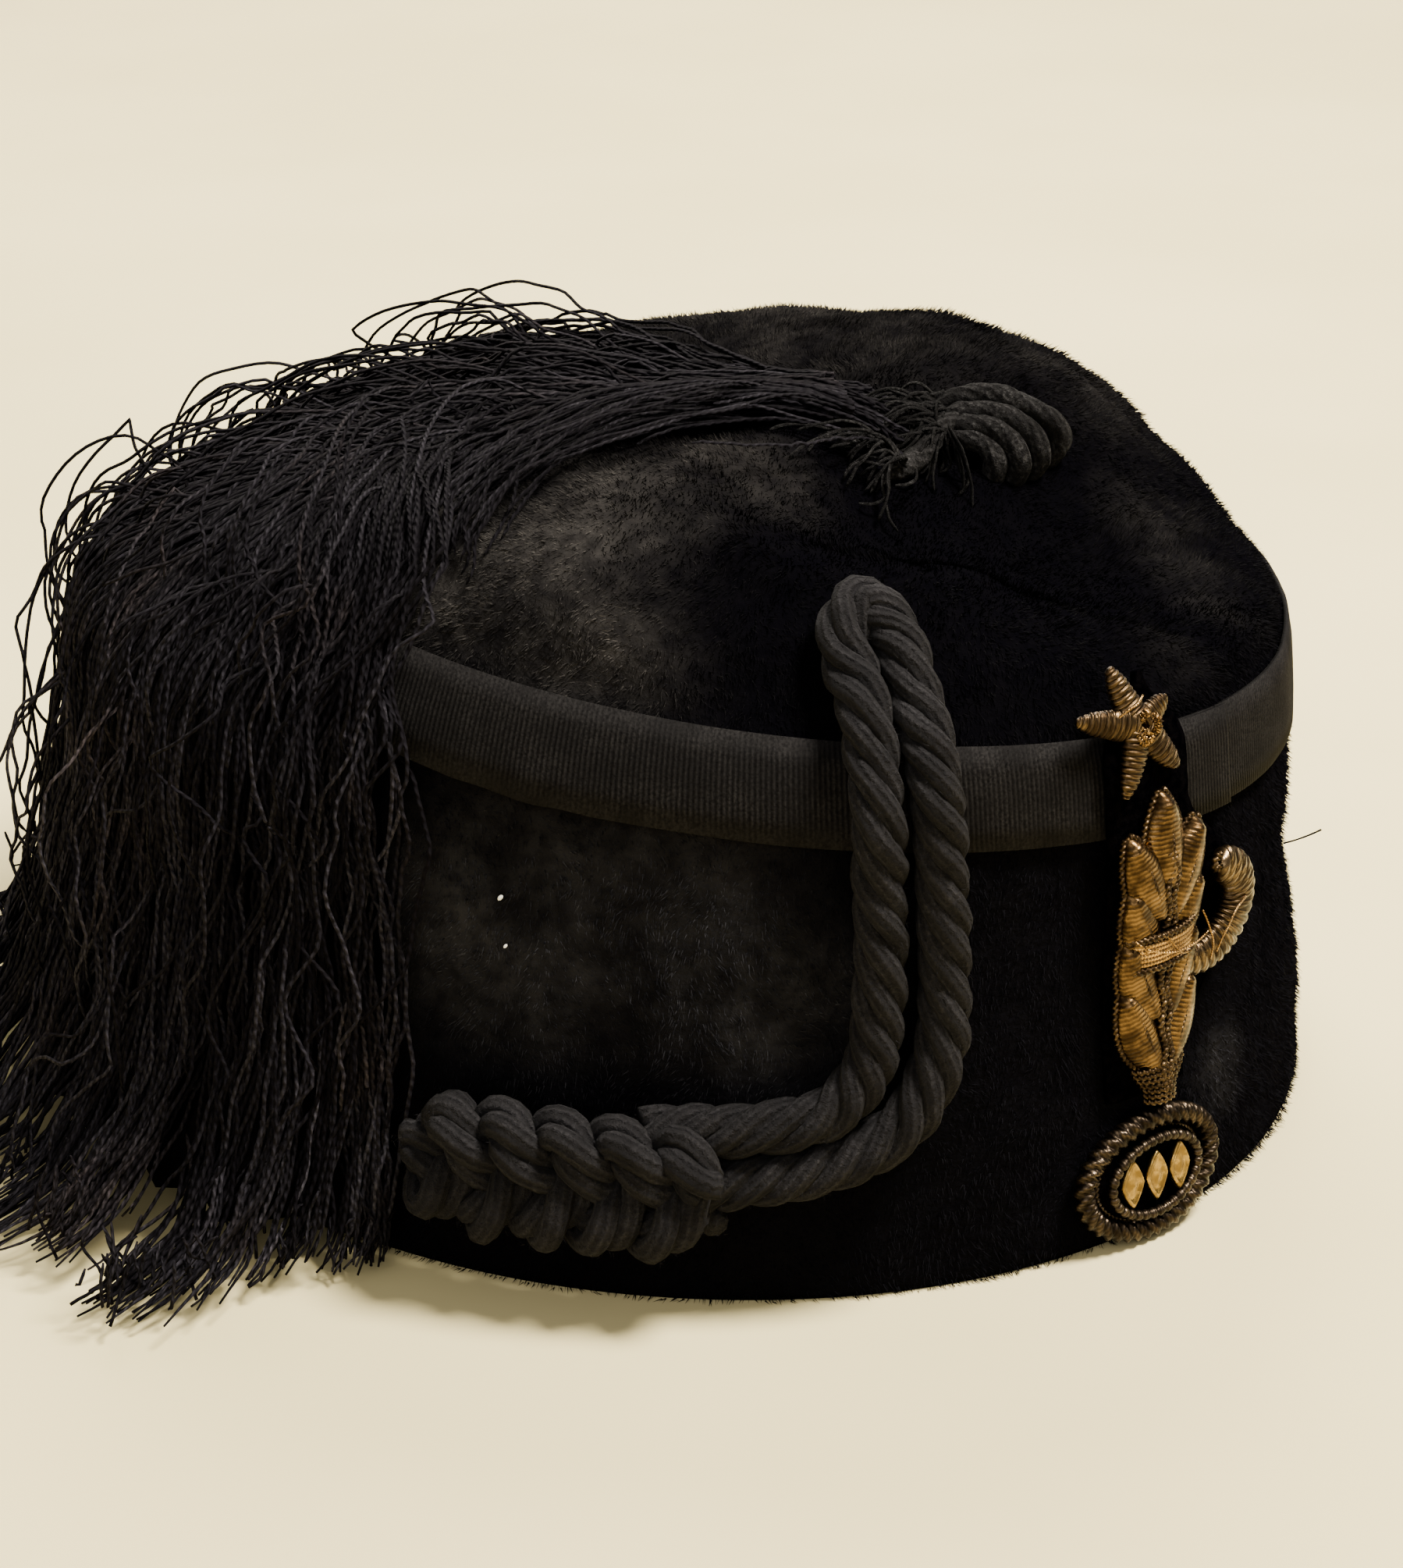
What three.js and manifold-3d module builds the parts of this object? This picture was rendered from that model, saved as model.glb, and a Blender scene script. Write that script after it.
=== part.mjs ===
// A soft black plush fez: felt cap, grosgrain ribbon, doubled side cord, long tassel and a bullion badge.
// Millimetres, +Z up. The front, with the badge, faces -Y and the wearer's right is -X.
// The part is drawn about the middle of the rim and moved at the end to the middle of its own base.
import * as THREE from 'three';
import { mergeVertices } from 'three/addons/utils/BufferGeometryUtils.js';
import Module from 'manifold-3d';

const wasm = await Module();
wasm.setup();

const { degToRad, lerp, smoothstep } = THREE.MathUtils;

// Driving sizes of the cap
const RIM_HALF_LENGTH = 101; // front to back
const RIM_HALF_WIDTH = 91; // side to side
const WALL = 3; // felt with its nap
const GAP = 0.3; // clearance between pieces that touch
const AROUND = 56; // facets round the cap
const OUTER_RINGS = 20;
const INNER_RINGS = 9;

// The soft crown leans this way, towards the wearer's front left
const LEAN = new THREE.Vector2(0.772, -0.636);

// Sections of the cap from rim to crown centre, in millimetres. spread scales the oval of the rim,
// lean moves the section along LEAN, rise tips its LEAN edge up and the opposite edge down.
const SECTIONS = [
  { height: 0, spread: 1.0, lean: 0, rise: 0 },
  { height: 20, spread: 0.99, lean: 0, rise: 0 },
  { height: 40, spread: 0.975, lean: 0, rise: 0 },
  { height: 60, spread: 0.96, lean: 0, rise: 0 },
  { height: 76, spread: 0.943, lean: 0, rise: 0 },
  { height: 86, spread: 0.88, lean: 1, rise: 0 },
  { height: 93.5, spread: 0.79, lean: 1, rise: 1 },
  { height: 99, spread: 0.67, lean: 2, rise: 3 },
  { height: 102.5, spread: 0.5, lean: 5, rise: 5 },
  { height: 104.5, spread: 0.32, lean: 10, rise: 4 },
  { height: 105, spread: 0.15, lean: 16, rise: 2 },
  { height: 105, spread: 0.0, lean: 22, rise: 0 },
];

// Dents and swells of the soft crown. across runs along LEAN and near towards the dented side,
// reach is the radius, sink goes down and push goes towards the axis. Negative values swell.
const DENTS = [
  { name: 'front_hollow', across: 52, near: 34, reach: 42, sink: 17, push: 2 },
  { name: 'front_crease', across: 20, near: 50, reach: 22, sink: 7, push: 2 },
  { name: 'top_saddle', across: 2, near: -6, reach: 42, sink: 3, push: 0 },
  { name: 'far_ridge', across: 44, near: -30, reach: 50, sink: -1, push: 0 },
  { name: 'front_shoulder', across: 88, near: 8, reach: 46, sink: 4, push: 4 },
  { name: 'side_swell', across: -12, near: 46, reach: 54, sink: -7, push: -3 },
  { name: 'back_slope', across: -60, near: -25, reach: 82, sink: 10, push: 1 },
];
const STIFF_BELOW = 72; // height where the dents begin
const SOFT_ABOVE = 94; // height where they have their full depth

// Ribbon: its lower edge is a tilted plane, higher at the back and on the wearer's right
const RIBBON = {
  height: 72.7, slopeX: -0.0946, slopeY: 0.1079, spread: 0.95, width: 14.4, thickness: 0.8, seat: 0.7,
};
const RIBBON_START = -84; // degrees, under the badge
const RIBBON_END = -77.5; // degrees, where the turned end lies over the start
const RIBBON_LAP = 1.15; // how far the lapped end is lifted
const RIBBON_LAP_RUN = 18; // degrees over which it rises

// Side cord: two strands side by side that turn back at the top and are plaited at the low end
const CORD_RADIUS = 4.1;
const CORD_SEAT = 0.9; // least clearance under a strand
const CORD_TWIST = 9; // degrees for each millimetre
const CORD_STEP = 2.9; // spacing of its sections
const PLY_GROOVE = 0.84; // radius in the grooves between its three plies, as a share
// angle is in degrees round the cap, up is the share of the way from the rim to the crown centre
const CORD_ROUTE = [
  { angle: -156, up: 0.125 },
  { angle: -146, up: 0.128 },
  { angle: -137, up: 0.127 },
  { angle: -128, up: 0.13 },
  { angle: -121.5, up: 0.141 },
  { angle: -118.2, up: 0.176 },
  { angle: -117.3, up: 0.23 },
  { angle: -117.2, up: 0.29 },
  { angle: -117.3, up: 0.345 },
  { angle: -117.9, up: 0.42 },
  { angle: -118.5, up: 0.47 },
  { angle: -118.6, up: 0.518 },
  { angle: -116.2, up: 0.549 },
  { angle: -113.6, up: 0.515 },
  { angle: -113.2, up: 0.45 },
  { angle: -112.4, up: 0.37 },
  { angle: -112, up: 0.29 },
  { angle: -111.8, up: 0.215 },
  { angle: -112.6, up: 0.168 },
  { angle: -115.4, up: 0.13 },
  { angle: -121.2, up: 0.105 },
  { angle: -129, up: 0.094 },
  { angle: -138, up: 0.083 },
  { angle: -147, up: 0.076 },
  { angle: -155, up: 0.078 },
];
// Lobes of the plaited end: the two ends of each as angle and height, and its radius
const PLAIT_LOBES = [
  { from: [-132.5, 32], to: [-139, 30.5], radius: 4.8 },
  { from: [-139.5, 31], to: [-143.5, 19.5], radius: 5.4 },
  { from: [-145.5, 31], to: [-149.5, 19.5], radius: 5.3 },
  { from: [-150.5, 29.5], to: [-156, 19.5], radius: 4.9 },
  { from: [-133, 15], to: [-139.5, 10.5], radius: 4.7 },
  { from: [-142.5, 15.5], to: [-147.5, 11.5], radius: 4.5 },
  { from: [-150, 15], to: [-154, 11], radius: 4.5 },
];

// Tassel: the cord's plies leave the crown centre, turn over and open into locks that lie on the cap
const HEAD_ROUTE = [
  { x: 31, y: -36, lift: 2.6, tall: 0 },
  { x: 36.5, y: -38.5, lift: 6, tall: 1 },
  { x: 31, y: -36, lift: 8, tall: 1 },
  { x: 18, y: -32, lift: 5.5, tall: 0.7 },
  { x: 6, y: -27, lift: 3.4, tall: 0 },
];
const HEAD_PLIES = 4;
const PLY_RADIUS = 2.3;
const PLY_SPACING = 3.4;
const PLY_NEST = 3.4; // how far the outer plies arch over the inner ones
const LOCKS = 9;
const LOCK_FIRST = -162; // degrees round the cap, next to the plaited end of the side cord
const LOCK_LAST = -284; // degrees, at the back towards the wearer's left
const ROOT = new THREE.Vector2(8, -25); // where the locks leave the head
const ROOT_SPREAD = 1.9; // spacing of the locks at the root
const LOCK_BOW = 34; // how far the near locks bow to the back before they turn down
const LOCK_SEAT = 2.1; // least clearance under a lock
const LOCK_RAGGED = 0.05; // step between the lengths of the locks, as a share
const FLOOR_CLEAR = 0.2; // the locks flatten on the ground
const LOCK_EDGE_UP = 0.49; // where the top of the cap turns down into its side
// Outline of a lock's section: side is a share of its half width, out of its thickness
const LOCK_SECTION = [
  { side: 1, out: 0.45 },
  { side: 0.5, out: 1 },
  { side: -0.5, out: 1 },
  { side: -1, out: 0.45 },
  { side: 0, out: 0 },
];
// Sections along a lock: over the top as shares of the way to the edge, then down the side by up.
// off is how far it stands off the wall, width is a share of the spacing of the locks.
const LOCK_TOP = [
  { along: 0, off: 1.2, width: 0.32, thickness: 4.5 },
  { along: 0.15, off: 2.2, width: 0.5, thickness: 5 },
  { along: 0.35, off: 2.4, width: 0.72, thickness: 5.4 },
  { along: 0.58, off: 3, width: 0.9, thickness: 5 },
  { along: 0.8, off: 4.7, width: 0.98, thickness: 3.6 },
  { along: 1, off: 4.7, width: 1.02, thickness: 3 },
];
const LOCK_SIDE = [
  { up: 0.43, off: 2.8, width: 1.08, thickness: 3.6 },
  { up: 0.33, off: 1.6, width: 1.08, thickness: 5.6 },
  { up: 0.235, off: 3, width: 1.14, thickness: 6.6 },
  { up: 0.15, off: 6, width: 1.1, thickness: 7.8 },
  { up: 0.08, off: 11, width: 1.0, thickness: 8.4 },
  { up: 0.035, off: 18, width: 0.85, thickness: 7 },
  { up: 0.016, off: 28, width: 0.6, thickness: 4.2 },
  { up: 0.008, off: 35.5, width: 0.3, thickness: 2 },
];

// Badge: places on the front wall are x across and z up, lifts stand off the felt
const BACKING = { left: -8, right: 7.2, bottom: 23, top: 88, thickness: 1.2 };
const BACKING_WING = { width: 13, z: 47, reach: 20 }; // where the backing widens under the tendril
const BACKING_ROUND = { inset: 6, depth: 11 }; // its rounded top
const STIFF_ABOVE = 77; // the badge stands straight up from here, clear of the soft crown
const STIFF_SLOPE = 0.22; // how much it follows the crown inwards
const STAR = { x: -2, z: 77.8, radius: 8.8, turn: 18, thickness: 3 };
const SPRAY = { x: 0.9, foot: 24.6, top: 69.5, pairs: 4, stem: 1.5 };
const LEAF = { length: 15, width: 6.6, thickness: 3.4, splay: 22 };
const TENDRIL = { x: 11.3, z: 47.2, halfWidth: 9, halfHeight: 8, thickness: 3, width: 5.6 };
const DISC = { x: -0.6, z: 10.3, halfWidth: 14.5, halfHeight: 10, rope: 1.5, bead: 0.8, pad: 1.8 };
const STUDS = { count: 3, spacing: 4.6, halfWidth: 1.9, halfHeight: 3.6, thickness: 0.9 };

// Catmull-Rom value of one column of a table at a fractional row
function columnAt(table, column, row) {
  const last = table.length - 1;
  const i = Math.min(Math.floor(row), last - 1);
  const f = row - i;
  const at = (k) => table[Math.max(0, Math.min(last, k))][column];
  const [a, b, c, d] = [at(i - 1), at(i), at(i + 1), at(i + 2)];
  return b + 0.5 * f * (c - a + f * (2 * a - 5 * b + 4 * c - d + f * (3 * (b - c) + d - a)));
}

// Smooth bump that is 1 at the centre and 0 from reach outwards
function bump(distance, reach) {
  const s = Math.min(1, Math.abs(distance) / reach);
  return (1 - s * s) ** 2;
}

function sectionAt(share) {
  const row = share * (SECTIONS.length - 1);
  return {
    height: columnAt(SECTIONS, 'height', row),
    spread: Math.max(0, columnAt(SECTIONS, 'spread', row)),
    lean: columnAt(SECTIONS, 'lean', row),
    rise: columnAt(SECTIONS, 'rise', row),
  };
}

// Outer surface of the cap: angle round it, and share from 0 at the rim to 1 at the crown centre
function capSurface(angle, share) {
  const section = sectionAt(share);
  const ux = Math.cos(angle);
  const uy = Math.sin(angle);
  const p = new THREE.Vector3(
    RIM_HALF_WIDTH * section.spread * ux + section.lean * LEAN.x,
    RIM_HALF_LENGTH * section.spread * uy + section.lean * LEAN.y,
    section.height + section.rise * (ux * LEAN.x + uy * LEAN.y),
  );
  const soft = smoothstep(p.z, STIFF_BELOW, SOFT_ABOVE);
  const across = p.x * LEAN.x + p.y * LEAN.y;
  const near = p.x * LEAN.y - p.y * LEAN.x;
  for (const dent of DENTS) {
    const depth = soft * bump(Math.hypot(across - dent.across, near - dent.near), dent.reach);
    p.z -= dent.sink * depth;
    p.x -= dent.push * depth * ux;
    p.y -= dent.push * depth * uy;
  }
  return p;
}

// Outward normal of the cap's outer surface
function capNormal(angle, share) {
  if (share > 0.985) return new THREE.Vector3(0, 0, 1);
  const low = capSurface(angle, Math.max(0, share - 0.004));
  const high = capSurface(angle, share + 0.004);
  const left = capSurface(angle - 0.02, share);
  const right = capSurface(angle + 0.02, share);
  const normal = right.sub(left).cross(high.sub(low));
  if (share === 0) normal.z = 0;
  return normal.normalize();
}

// A point that stands off the cap's surface
function offCap(angle, share, lift) {
  return capSurface(angle, share).addScaledVector(capNormal(angle, share), lift);
}

// Share at which the cap's side reaches a height, at one angle
function shareAtHeight(angle, height) {
  let low = 0;
  let high = 0.75;
  for (let i = 0; i < 30; i += 1) {
    const middle = (low + high) / 2;
    if (capSurface(angle, middle).z < height) low = middle;
    else high = middle;
  }
  return low;
}

// Point off the cap's side, by angle in degrees and height
function offSide(degrees, height, lift) {
  const angle = degToRad(degrees);
  return offCap(angle, shareAtHeight(angle, height), lift);
}

// Point off the cap's top, by its place in plan
function offTop(x, y, lift) {
  let low = 0.3;
  let high = 1;
  let angle = 0;
  for (let i = 0; i < 30; i += 1) {
    const middle = (low + high) / 2;
    const section = sectionAt(middle);
    const u = (x - section.lean * LEAN.x) / (RIM_HALF_WIDTH * section.spread);
    const v = (y - section.lean * LEAN.y) / (RIM_HALF_LENGTH * section.spread);
    angle = Math.atan2(v, u);
    if (Math.hypot(u, v) < 1) low = middle;
    else high = middle;
  }
  return offCap(angle, low, lift);
}

// Point off the front wall, by x across and z up
function offFront(x, z, lift) {
  const height = Math.min(z, STIFF_ABOVE);
  let angle = -Math.PI / 2;
  for (let i = 0; i < 6; i += 1) {
    const { spread } = sectionAt(shareAtHeight(angle, height));
    angle = -Math.acos(x / (RIM_HALF_WIDTH * spread));
  }
  const p = offCap(angle, shareAtHeight(angle, height), lift);
  p.z += z - height;
  p.y += STIFF_SLOPE * (z - height);
  return p;
}

// Closed geometry from a list of points and a list of triangles
function fromTriangles(points, triangles) {
  const geometry = new THREE.BufferGeometry();
  const places = points.flatMap((p) => [p.x, p.y, p.z]);
  geometry.setAttribute('position', new THREE.Float32BufferAttribute(places, 3));
  geometry.setIndex(triangles.flat());
  return geometry;
}

// Closed solid through a row of equal rings of points. Rings run counterclockwise seen from the far end.
// loop joins the last ring to the first, otherwise both ends are closed by a fan.
function throughRings(rings, loop = false) {
  const size = rings[0].length;
  const points = rings.flat();
  const triangles = [];
  const joins = loop ? rings.length : rings.length - 1;
  for (let j = 0; j < joins; j += 1) {
    const here = j * size;
    const next = ((j + 1) % rings.length) * size;
    for (let i = 0; i < size; i += 1) {
      const k = (i + 1) % size;
      triangles.push([here + i, here + k, next + k], [here + i, next + k, next + i]);
    }
  }
  if (!loop) {
    const last = (rings.length - 1) * size;
    for (let i = 1; i < size - 1; i += 1) {
      triangles.push([0, i + 1, i], [last, last + i, last + i + 1]);
    }
  }
  return fromTriangles(points, triangles);
}

// Ring of points about a centre: out and side are the half axes
function ringAbout(centre, out, side, count, turn = 0, shape = () => 1) {
  return Array.from({ length: count }, (_, i) => {
    const a = turn + (2 * Math.PI * i) / count;
    const r = shape(i);
    return centre.clone().addScaledVector(side, r * Math.cos(a)).addScaledVector(out, r * Math.sin(a));
  });
}

// Tube along points. radius and flatness may change along it; away is the direction that counts as out.
function tubeThrough(points, { radius, flat = () => 1, away, sides = 6, twist = 0, shape, loop = false }) {
  const count = points.length;
  const rings = points.map((p, j) => {
    const before = points[loop ? (j + count - 1) % count : Math.max(0, j - 1)];
    const after = points[loop ? (j + 1) % count : Math.min(count - 1, j + 1)];
    const ahead = after.clone().sub(before).normalize();
    const out = away(p, j).clone();
    out.addScaledVector(ahead, -out.dot(ahead)).normalize();
    const side = out.clone().cross(ahead);
    const r = radius(j);
    return ringAbout(p, out.multiplyScalar(r * flat(j)), side.multiplyScalar(r), sides, twist * j, shape);
  });
  return throughRings(rings, loop);
}

// Solid for joining and cutting, and back to a geometry
function toManifold(geometry) {
  const plain = geometry.clone();
  plain.deleteAttribute('normal');
  plain.deleteAttribute('uv');
  const merged = mergeVertices(plain, 1e-4);
  return new wasm.Manifold(new wasm.Mesh({
    numProp: 3,
    vertProperties: new Float32Array(merged.attributes.position.array),
    triVerts: new Uint32Array(merged.index.array),
  }));
}

// Six times the signed volume under one triangle, seen from the origin
function volumeUnder(points, [a, b, c]) {
  return points[a].dot(points[b].clone().cross(points[c]));
}

// Skins of a joined solid that enclose material. Small pockets sealed inside it are filled.
function withoutPockets(points, triangles) {
  const root = points.map((_, i) => i);
  const find = (i) => {
    while (root[i] !== i) {
      root[i] = root[root[i]];
      i = root[i];
    }
    return i;
  };
  for (const [a, b, c] of triangles) {
    root[find(a)] = find(b);
    root[find(b)] = find(c);
  }
  const volumes = new Map();
  for (const t of triangles) {
    const skin = find(t[0]);
    volumes.set(skin, (volumes.get(skin) ?? 0) + volumeUnder(points, t));
  }
  return triangles.filter((t) => volumes.get(find(t[0])) > 0);
}

function fuse(geometries) {
  const whole = geometries.map(toManifold).reduce((sum, next) => sum.add(next));
  const { vertProperties, triVerts } = whole.getMesh();
  const points = [];
  for (let i = 0; i < vertProperties.length; i += 3) {
    points.push(new THREE.Vector3(vertProperties[i], vertProperties[i + 1], vertProperties[i + 2]));
  }
  const triangles = [];
  for (let i = 0; i < triVerts.length; i += 3) triangles.push([...triVerts.slice(i, i + 3)]);
  return fromTriangles(points, withoutPockets(points, triangles));
}

// Felt cap: an outer and an inner skin that meet on the flat rim
function cap() {
  const skin = (lift, rings) => {
    const points = [];
    for (let j = 0; j < rings; j += 1) {
      for (let i = 0; i < AROUND; i += 1) points.push(offCap((2 * Math.PI * i) / AROUND, j / rings, lift));
    }
    points.push(offCap(0, 1, lift));
    return points;
  };
  const outer = skin(0, OUTER_RINGS);
  const inner = skin(-WALL, INNER_RINGS);
  const triangles = [];
  const cover = (start, rings, outwards) => {
    const face = (a, b, c) => triangles.push(outwards ? [a, b, c] : [a, c, b]);
    for (let j = 0; j < rings; j += 1) {
      for (let i = 0; i < AROUND; i += 1) {
        const a = start + j * AROUND + i;
        const b = start + j * AROUND + ((i + 1) % AROUND);
        if (j === rings - 1) face(a, b, start + rings * AROUND);
        else {
          face(a, b, b + AROUND);
          face(a, b + AROUND, a + AROUND);
        }
      }
    }
  };
  cover(0, OUTER_RINGS, true);
  cover(outer.length, INNER_RINGS, false);
  for (let i = 0; i < AROUND; i += 1) {
    const k = (i + 1) % AROUND;
    triangles.push([i, outer.length + i, outer.length + k], [i, outer.length + k, k]);
  }
  return fromTriangles([...outer, ...inner], triangles);
}

// Height of the ribbon's lower edge at one angle
function ribbonFoot(angle) {
  const x = RIBBON.spread * RIM_HALF_WIDTH * Math.cos(angle);
  const y = RIBBON.spread * RIM_HALF_LENGTH * Math.sin(angle);
  return RIBBON.height + RIBBON.slopeX * x + RIBBON.slopeY * y;
}

// Shares of the way up at the ribbon's lower edge, middle and upper edge, measured along the felt
function ribbonUps(angle) {
  const foot = shareAtHeight(angle, ribbonFoot(angle));
  const climb = 0.004;
  let up = foot;
  let middle = foot;
  let run = 0;
  for (let from = capSurface(angle, up); run < RIBBON.width;) {
    up += climb;
    const to = capSurface(angle, up);
    run += from.distanceTo(to);
    if (run < RIBBON.width / 2) middle = up;
    from = to;
  }
  return [foot, middle, up];
}

// Ribbon: one strip once round the cap, its turned end lapped over its start behind the badge
function ribbonBand() {
  const step = 360 / AROUND;
  const stops = [RIBBON_START];
  for (let a = Math.ceil(RIBBON_START / step) * step; a < RIBBON_END + 360; a += step) {
    if (a > RIBBON_START + 0.5) stops.push(a);
  }
  stops.push(RIBBON_END + 360);
  const rings = stops.map((degrees) => {
    const angle = degToRad(degrees);
    const turned = degrees - RIBBON_START;
    const lapped = RIBBON_LAP * smoothstep(turned, 360 - RIBBON_LAP_RUN, 354);
    const ups = ribbonUps(angle);
    return [
      ...ups.map((up) => offCap(angle, up, RIBBON.seat + lapped)),
      ...ups.map((up) => offCap(angle, up, RIBBON.seat + lapped + RIBBON.thickness)).reverse(),
    ];
  });
  return throughRings(rings);
}

// How far a strand's middle stands off the felt: it climbs over the ribbon
function cordLift(angle, up) {
  const [foot, , top] = ribbonUps(angle);
  const onRibbon = smoothstep(up, foot - 0.03, foot) * (1 - smoothstep(up, top, top + 0.05));
  return CORD_RADIUS + CORD_SEAT + onRibbon * (RIBBON.seat + RIBBON.thickness + GAP);
}

function outFromAxis(p) {
  const up = Math.max(0, p.z - 84) / 60;
  return new THREE.Vector3(p.x / RIM_HALF_WIDTH, p.y / RIM_HALF_LENGTH, up).normalize();
}

// One strand of three plies, from the plait up over the turn and back to the plait
function cordLoop() {
  const route = new THREE.CatmullRomCurve3(
    CORD_ROUTE.map(({ angle, up }) => offCap(degToRad(angle), up, cordLift(degToRad(angle), up))),
    true,
  );
  const count = Math.round(route.getLength() / CORD_STEP);
  const thirdTurn = (2 * Math.PI) / 3; // three plies look the same after a third of a turn
  return tubeThrough(route.getSpacedPoints(count).slice(0, count), {
    radius: () => CORD_RADIUS,
    away: outFromAxis,
    twist: (thirdTurn / count) * Math.round((degToRad(CORD_TWIST) * CORD_STEP * count) / thirdTurn),
    shape: (i) => (i % 2 ? PLY_GROOVE : 1.05),
    loop: true,
  });
}

// A rounded lobe of the plait, laid across the two strands
function plaitLobe({ from, to, radius }) {
  const profile = [0.4, 0.95, 0.95, 0.4];
  const points = profile.map((_, j) => {
    const t = j / (profile.length - 1);
    return offSide(lerp(from[0], to[0], t), lerp(from[1], to[1], t), radius + CORD_SEAT + 1.4);
  });
  return tubeThrough(points, { radius: (j) => radius * profile[j], away: outFromAxis, sides: 6 });
}

function sideCord() {
  return fuse([cordLoop(), ...PLAIT_LOBES.map(plaitLobe)]);
}

function outFromCore(p) {
  return new THREE.Vector3(p.x, p.y, p.z + 10).normalize();
}

// One ply of the tassel's head, arching from the crown centre over to the root of the locks
function headPly(index) {
  const beside = (index % 2 ? 0.5 : -0.5) * PLY_SPACING;
  const outer = index < HEAD_PLIES / 2 ? 1 : 0;
  const route = new THREE.CatmullRomCurve3(HEAD_ROUTE.map(({ x, y, lift, tall }) => {
    const nest = outer * tall * PLY_NEST;
    const px = x + LEAN.y * beside + LEAN.x * nest * 0.5;
    const py = y - LEAN.x * beside + LEAN.y * nest * 0.5;
    return offTop(px, py, lift + nest);
  }));
  return tubeThrough(route.getSpacedPoints(8), { radius: () => PLY_RADIUS, away: outFromCore });
}

// Middle of a lock in plan, at a share of its way from the root to the edge of the top
function lockMiddle(share, edge, along) {
  const start = (share - 0.5) * ROOT_SPREAD * LOCKS * (1 - along);
  const bow = LOCK_BOW * Math.sin(Math.PI * Math.min(1, along)) * (1 - share) ** 2;
  return new THREE.Vector2(
    lerp(ROOT.x, edge.x, along) + 0.6 * start + 0.3 * bow,
    lerp(ROOT.y, edge.y, along) + 0.8 * start + 0.95 * bow,
  );
}

// One lock: over the crown from the root, down the side and out on the ground
function lock(index) {
  const share = index / (LOCKS - 1);
  const angle = degToRad(lerp(LOCK_FIRST, LOCK_LAST, share));
  const spacing = (degToRad(Math.abs(LOCK_LAST - LOCK_FIRST)) / (LOCKS - 1)) * RIM_HALF_LENGTH;
  const reach = 1 - LOCK_RAGGED * ((index * 5) % 4);
  const edge = capSurface(angle, LOCK_EDGE_UP);
  const overTop = LOCK_TOP.map(({ along, off, width, thickness }) => {
    const middle = lockMiddle(share, edge, along);
    const ahead = lockMiddle(share, edge, along + 0.05).sub(middle).normalize();
    return LOCK_SECTION.map(({ side, out }) => {
      const beside = side * width * spacing * 0.5;
      const lift = LOCK_SEAT + off + out * thickness;
      return offTop(middle.x - ahead.y * beside, middle.y + ahead.x * beside, lift);
    });
  });
  const downSide = LOCK_SIDE.map(({ up, off, width, thickness }) => (
    LOCK_SECTION.map(({ side, out }) => {
      const turn = (side * width * spacing * 0.5) / RIM_HALF_LENGTH;
      const p = offCap(angle + turn, up, LOCK_SEAT + off * reach + out * thickness);
      p.z = Math.max(FLOOR_CLEAR, p.z - (1 - out) * FLOOR_CLEAR * 2);
      return p;
    })
  ));
  return throughRings([...overTop, ...downSide]);
}

function tassel() {
  const plies = Array.from({ length: HEAD_PLIES }, (_, i) => headPly(i));
  const locks = Array.from({ length: LOCKS }, (_, i) => lock(i));
  return fuse([...plies, ...locks]);
}

// Lift of the badge's backing: it lies on the felt and climbs over the ribbon
function backingSeat(z) {
  const foot = ribbonFoot(-Math.PI / 2);
  const onRibbon = smoothstep(z, foot - 24, foot - 2.5);
  return RIBBON.seat + onRibbon * (RIBBON.thickness + RIBBON_LAP + 1.5 * GAP);
}

const onBacking = (z) => backingSeat(z) + BACKING.thickness + 2 * GAP;

// Closed pad on the front wall from rings of places, outermost first, closed on a centre place.
// Each ring holds [x, z] places; rises says how high each ring of the top stands over the pad's foot.
function frontPad(rings, rises, centre, rise, foot) {
  const size = rings[0].length;
  const points = [];
  rings.forEach((ring, j) => {
    ring.forEach(([x, z]) => points.push(offFront(x, z, foot(x, z) + rises[j])));
  });
  points.push(offFront(centre[0], centre[1], foot(...centre) + rise));
  const under = points.length;
  rings[0].forEach(([x, z]) => points.push(offFront(x, z, foot(x, z))));
  points.push(offFront(centre[0], centre[1], foot(...centre)));
  const triangles = [];
  const last = (rings.length - 1) * size;
  for (let i = 0; i < size; i += 1) {
    const k = (i + 1) % size;
    for (let a = 0; a < last; a += size) {
      triangles.push([a + i, a + k, a + size + k], [a + i, a + size + k, a + size + i]);
    }
    triangles.push([last + i, last + k, under - 1], [under + i, under + size, under + k]);
    triangles.push([i, under + i, under + k], [i, under + k, k]);
  }
  return fromTriangles(points, triangles);
}

// Backing cloth: a strip with a rounded top, in rows that follow the wall
function badgeBacking() {
  const rows = 20;
  const rings = Array.from({ length: rows + 1 }, (_, j) => {
    const z = lerp(BACKING.bottom, BACKING.top, j / rows);
    const inset = BACKING_ROUND.inset * smoothstep(z, BACKING.top - BACKING_ROUND.depth, BACKING.top);
    const wing = BACKING_WING.width * bump(z - BACKING_WING.z, BACKING_WING.reach);
    const right = BACKING.right - inset + wing;
    const xs = [0, 1 / 3, 2 / 3, 1].map((t) => lerp(BACKING.left + inset, right, t));
    const foot = backingSeat(z);
    return [
      ...xs.map((x) => offFront(x, z, foot + BACKING.thickness)),
      ...xs.reverse().map((x) => offFront(x, z, foot)),
    ];
  });
  return throughRings(rings);
}

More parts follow.
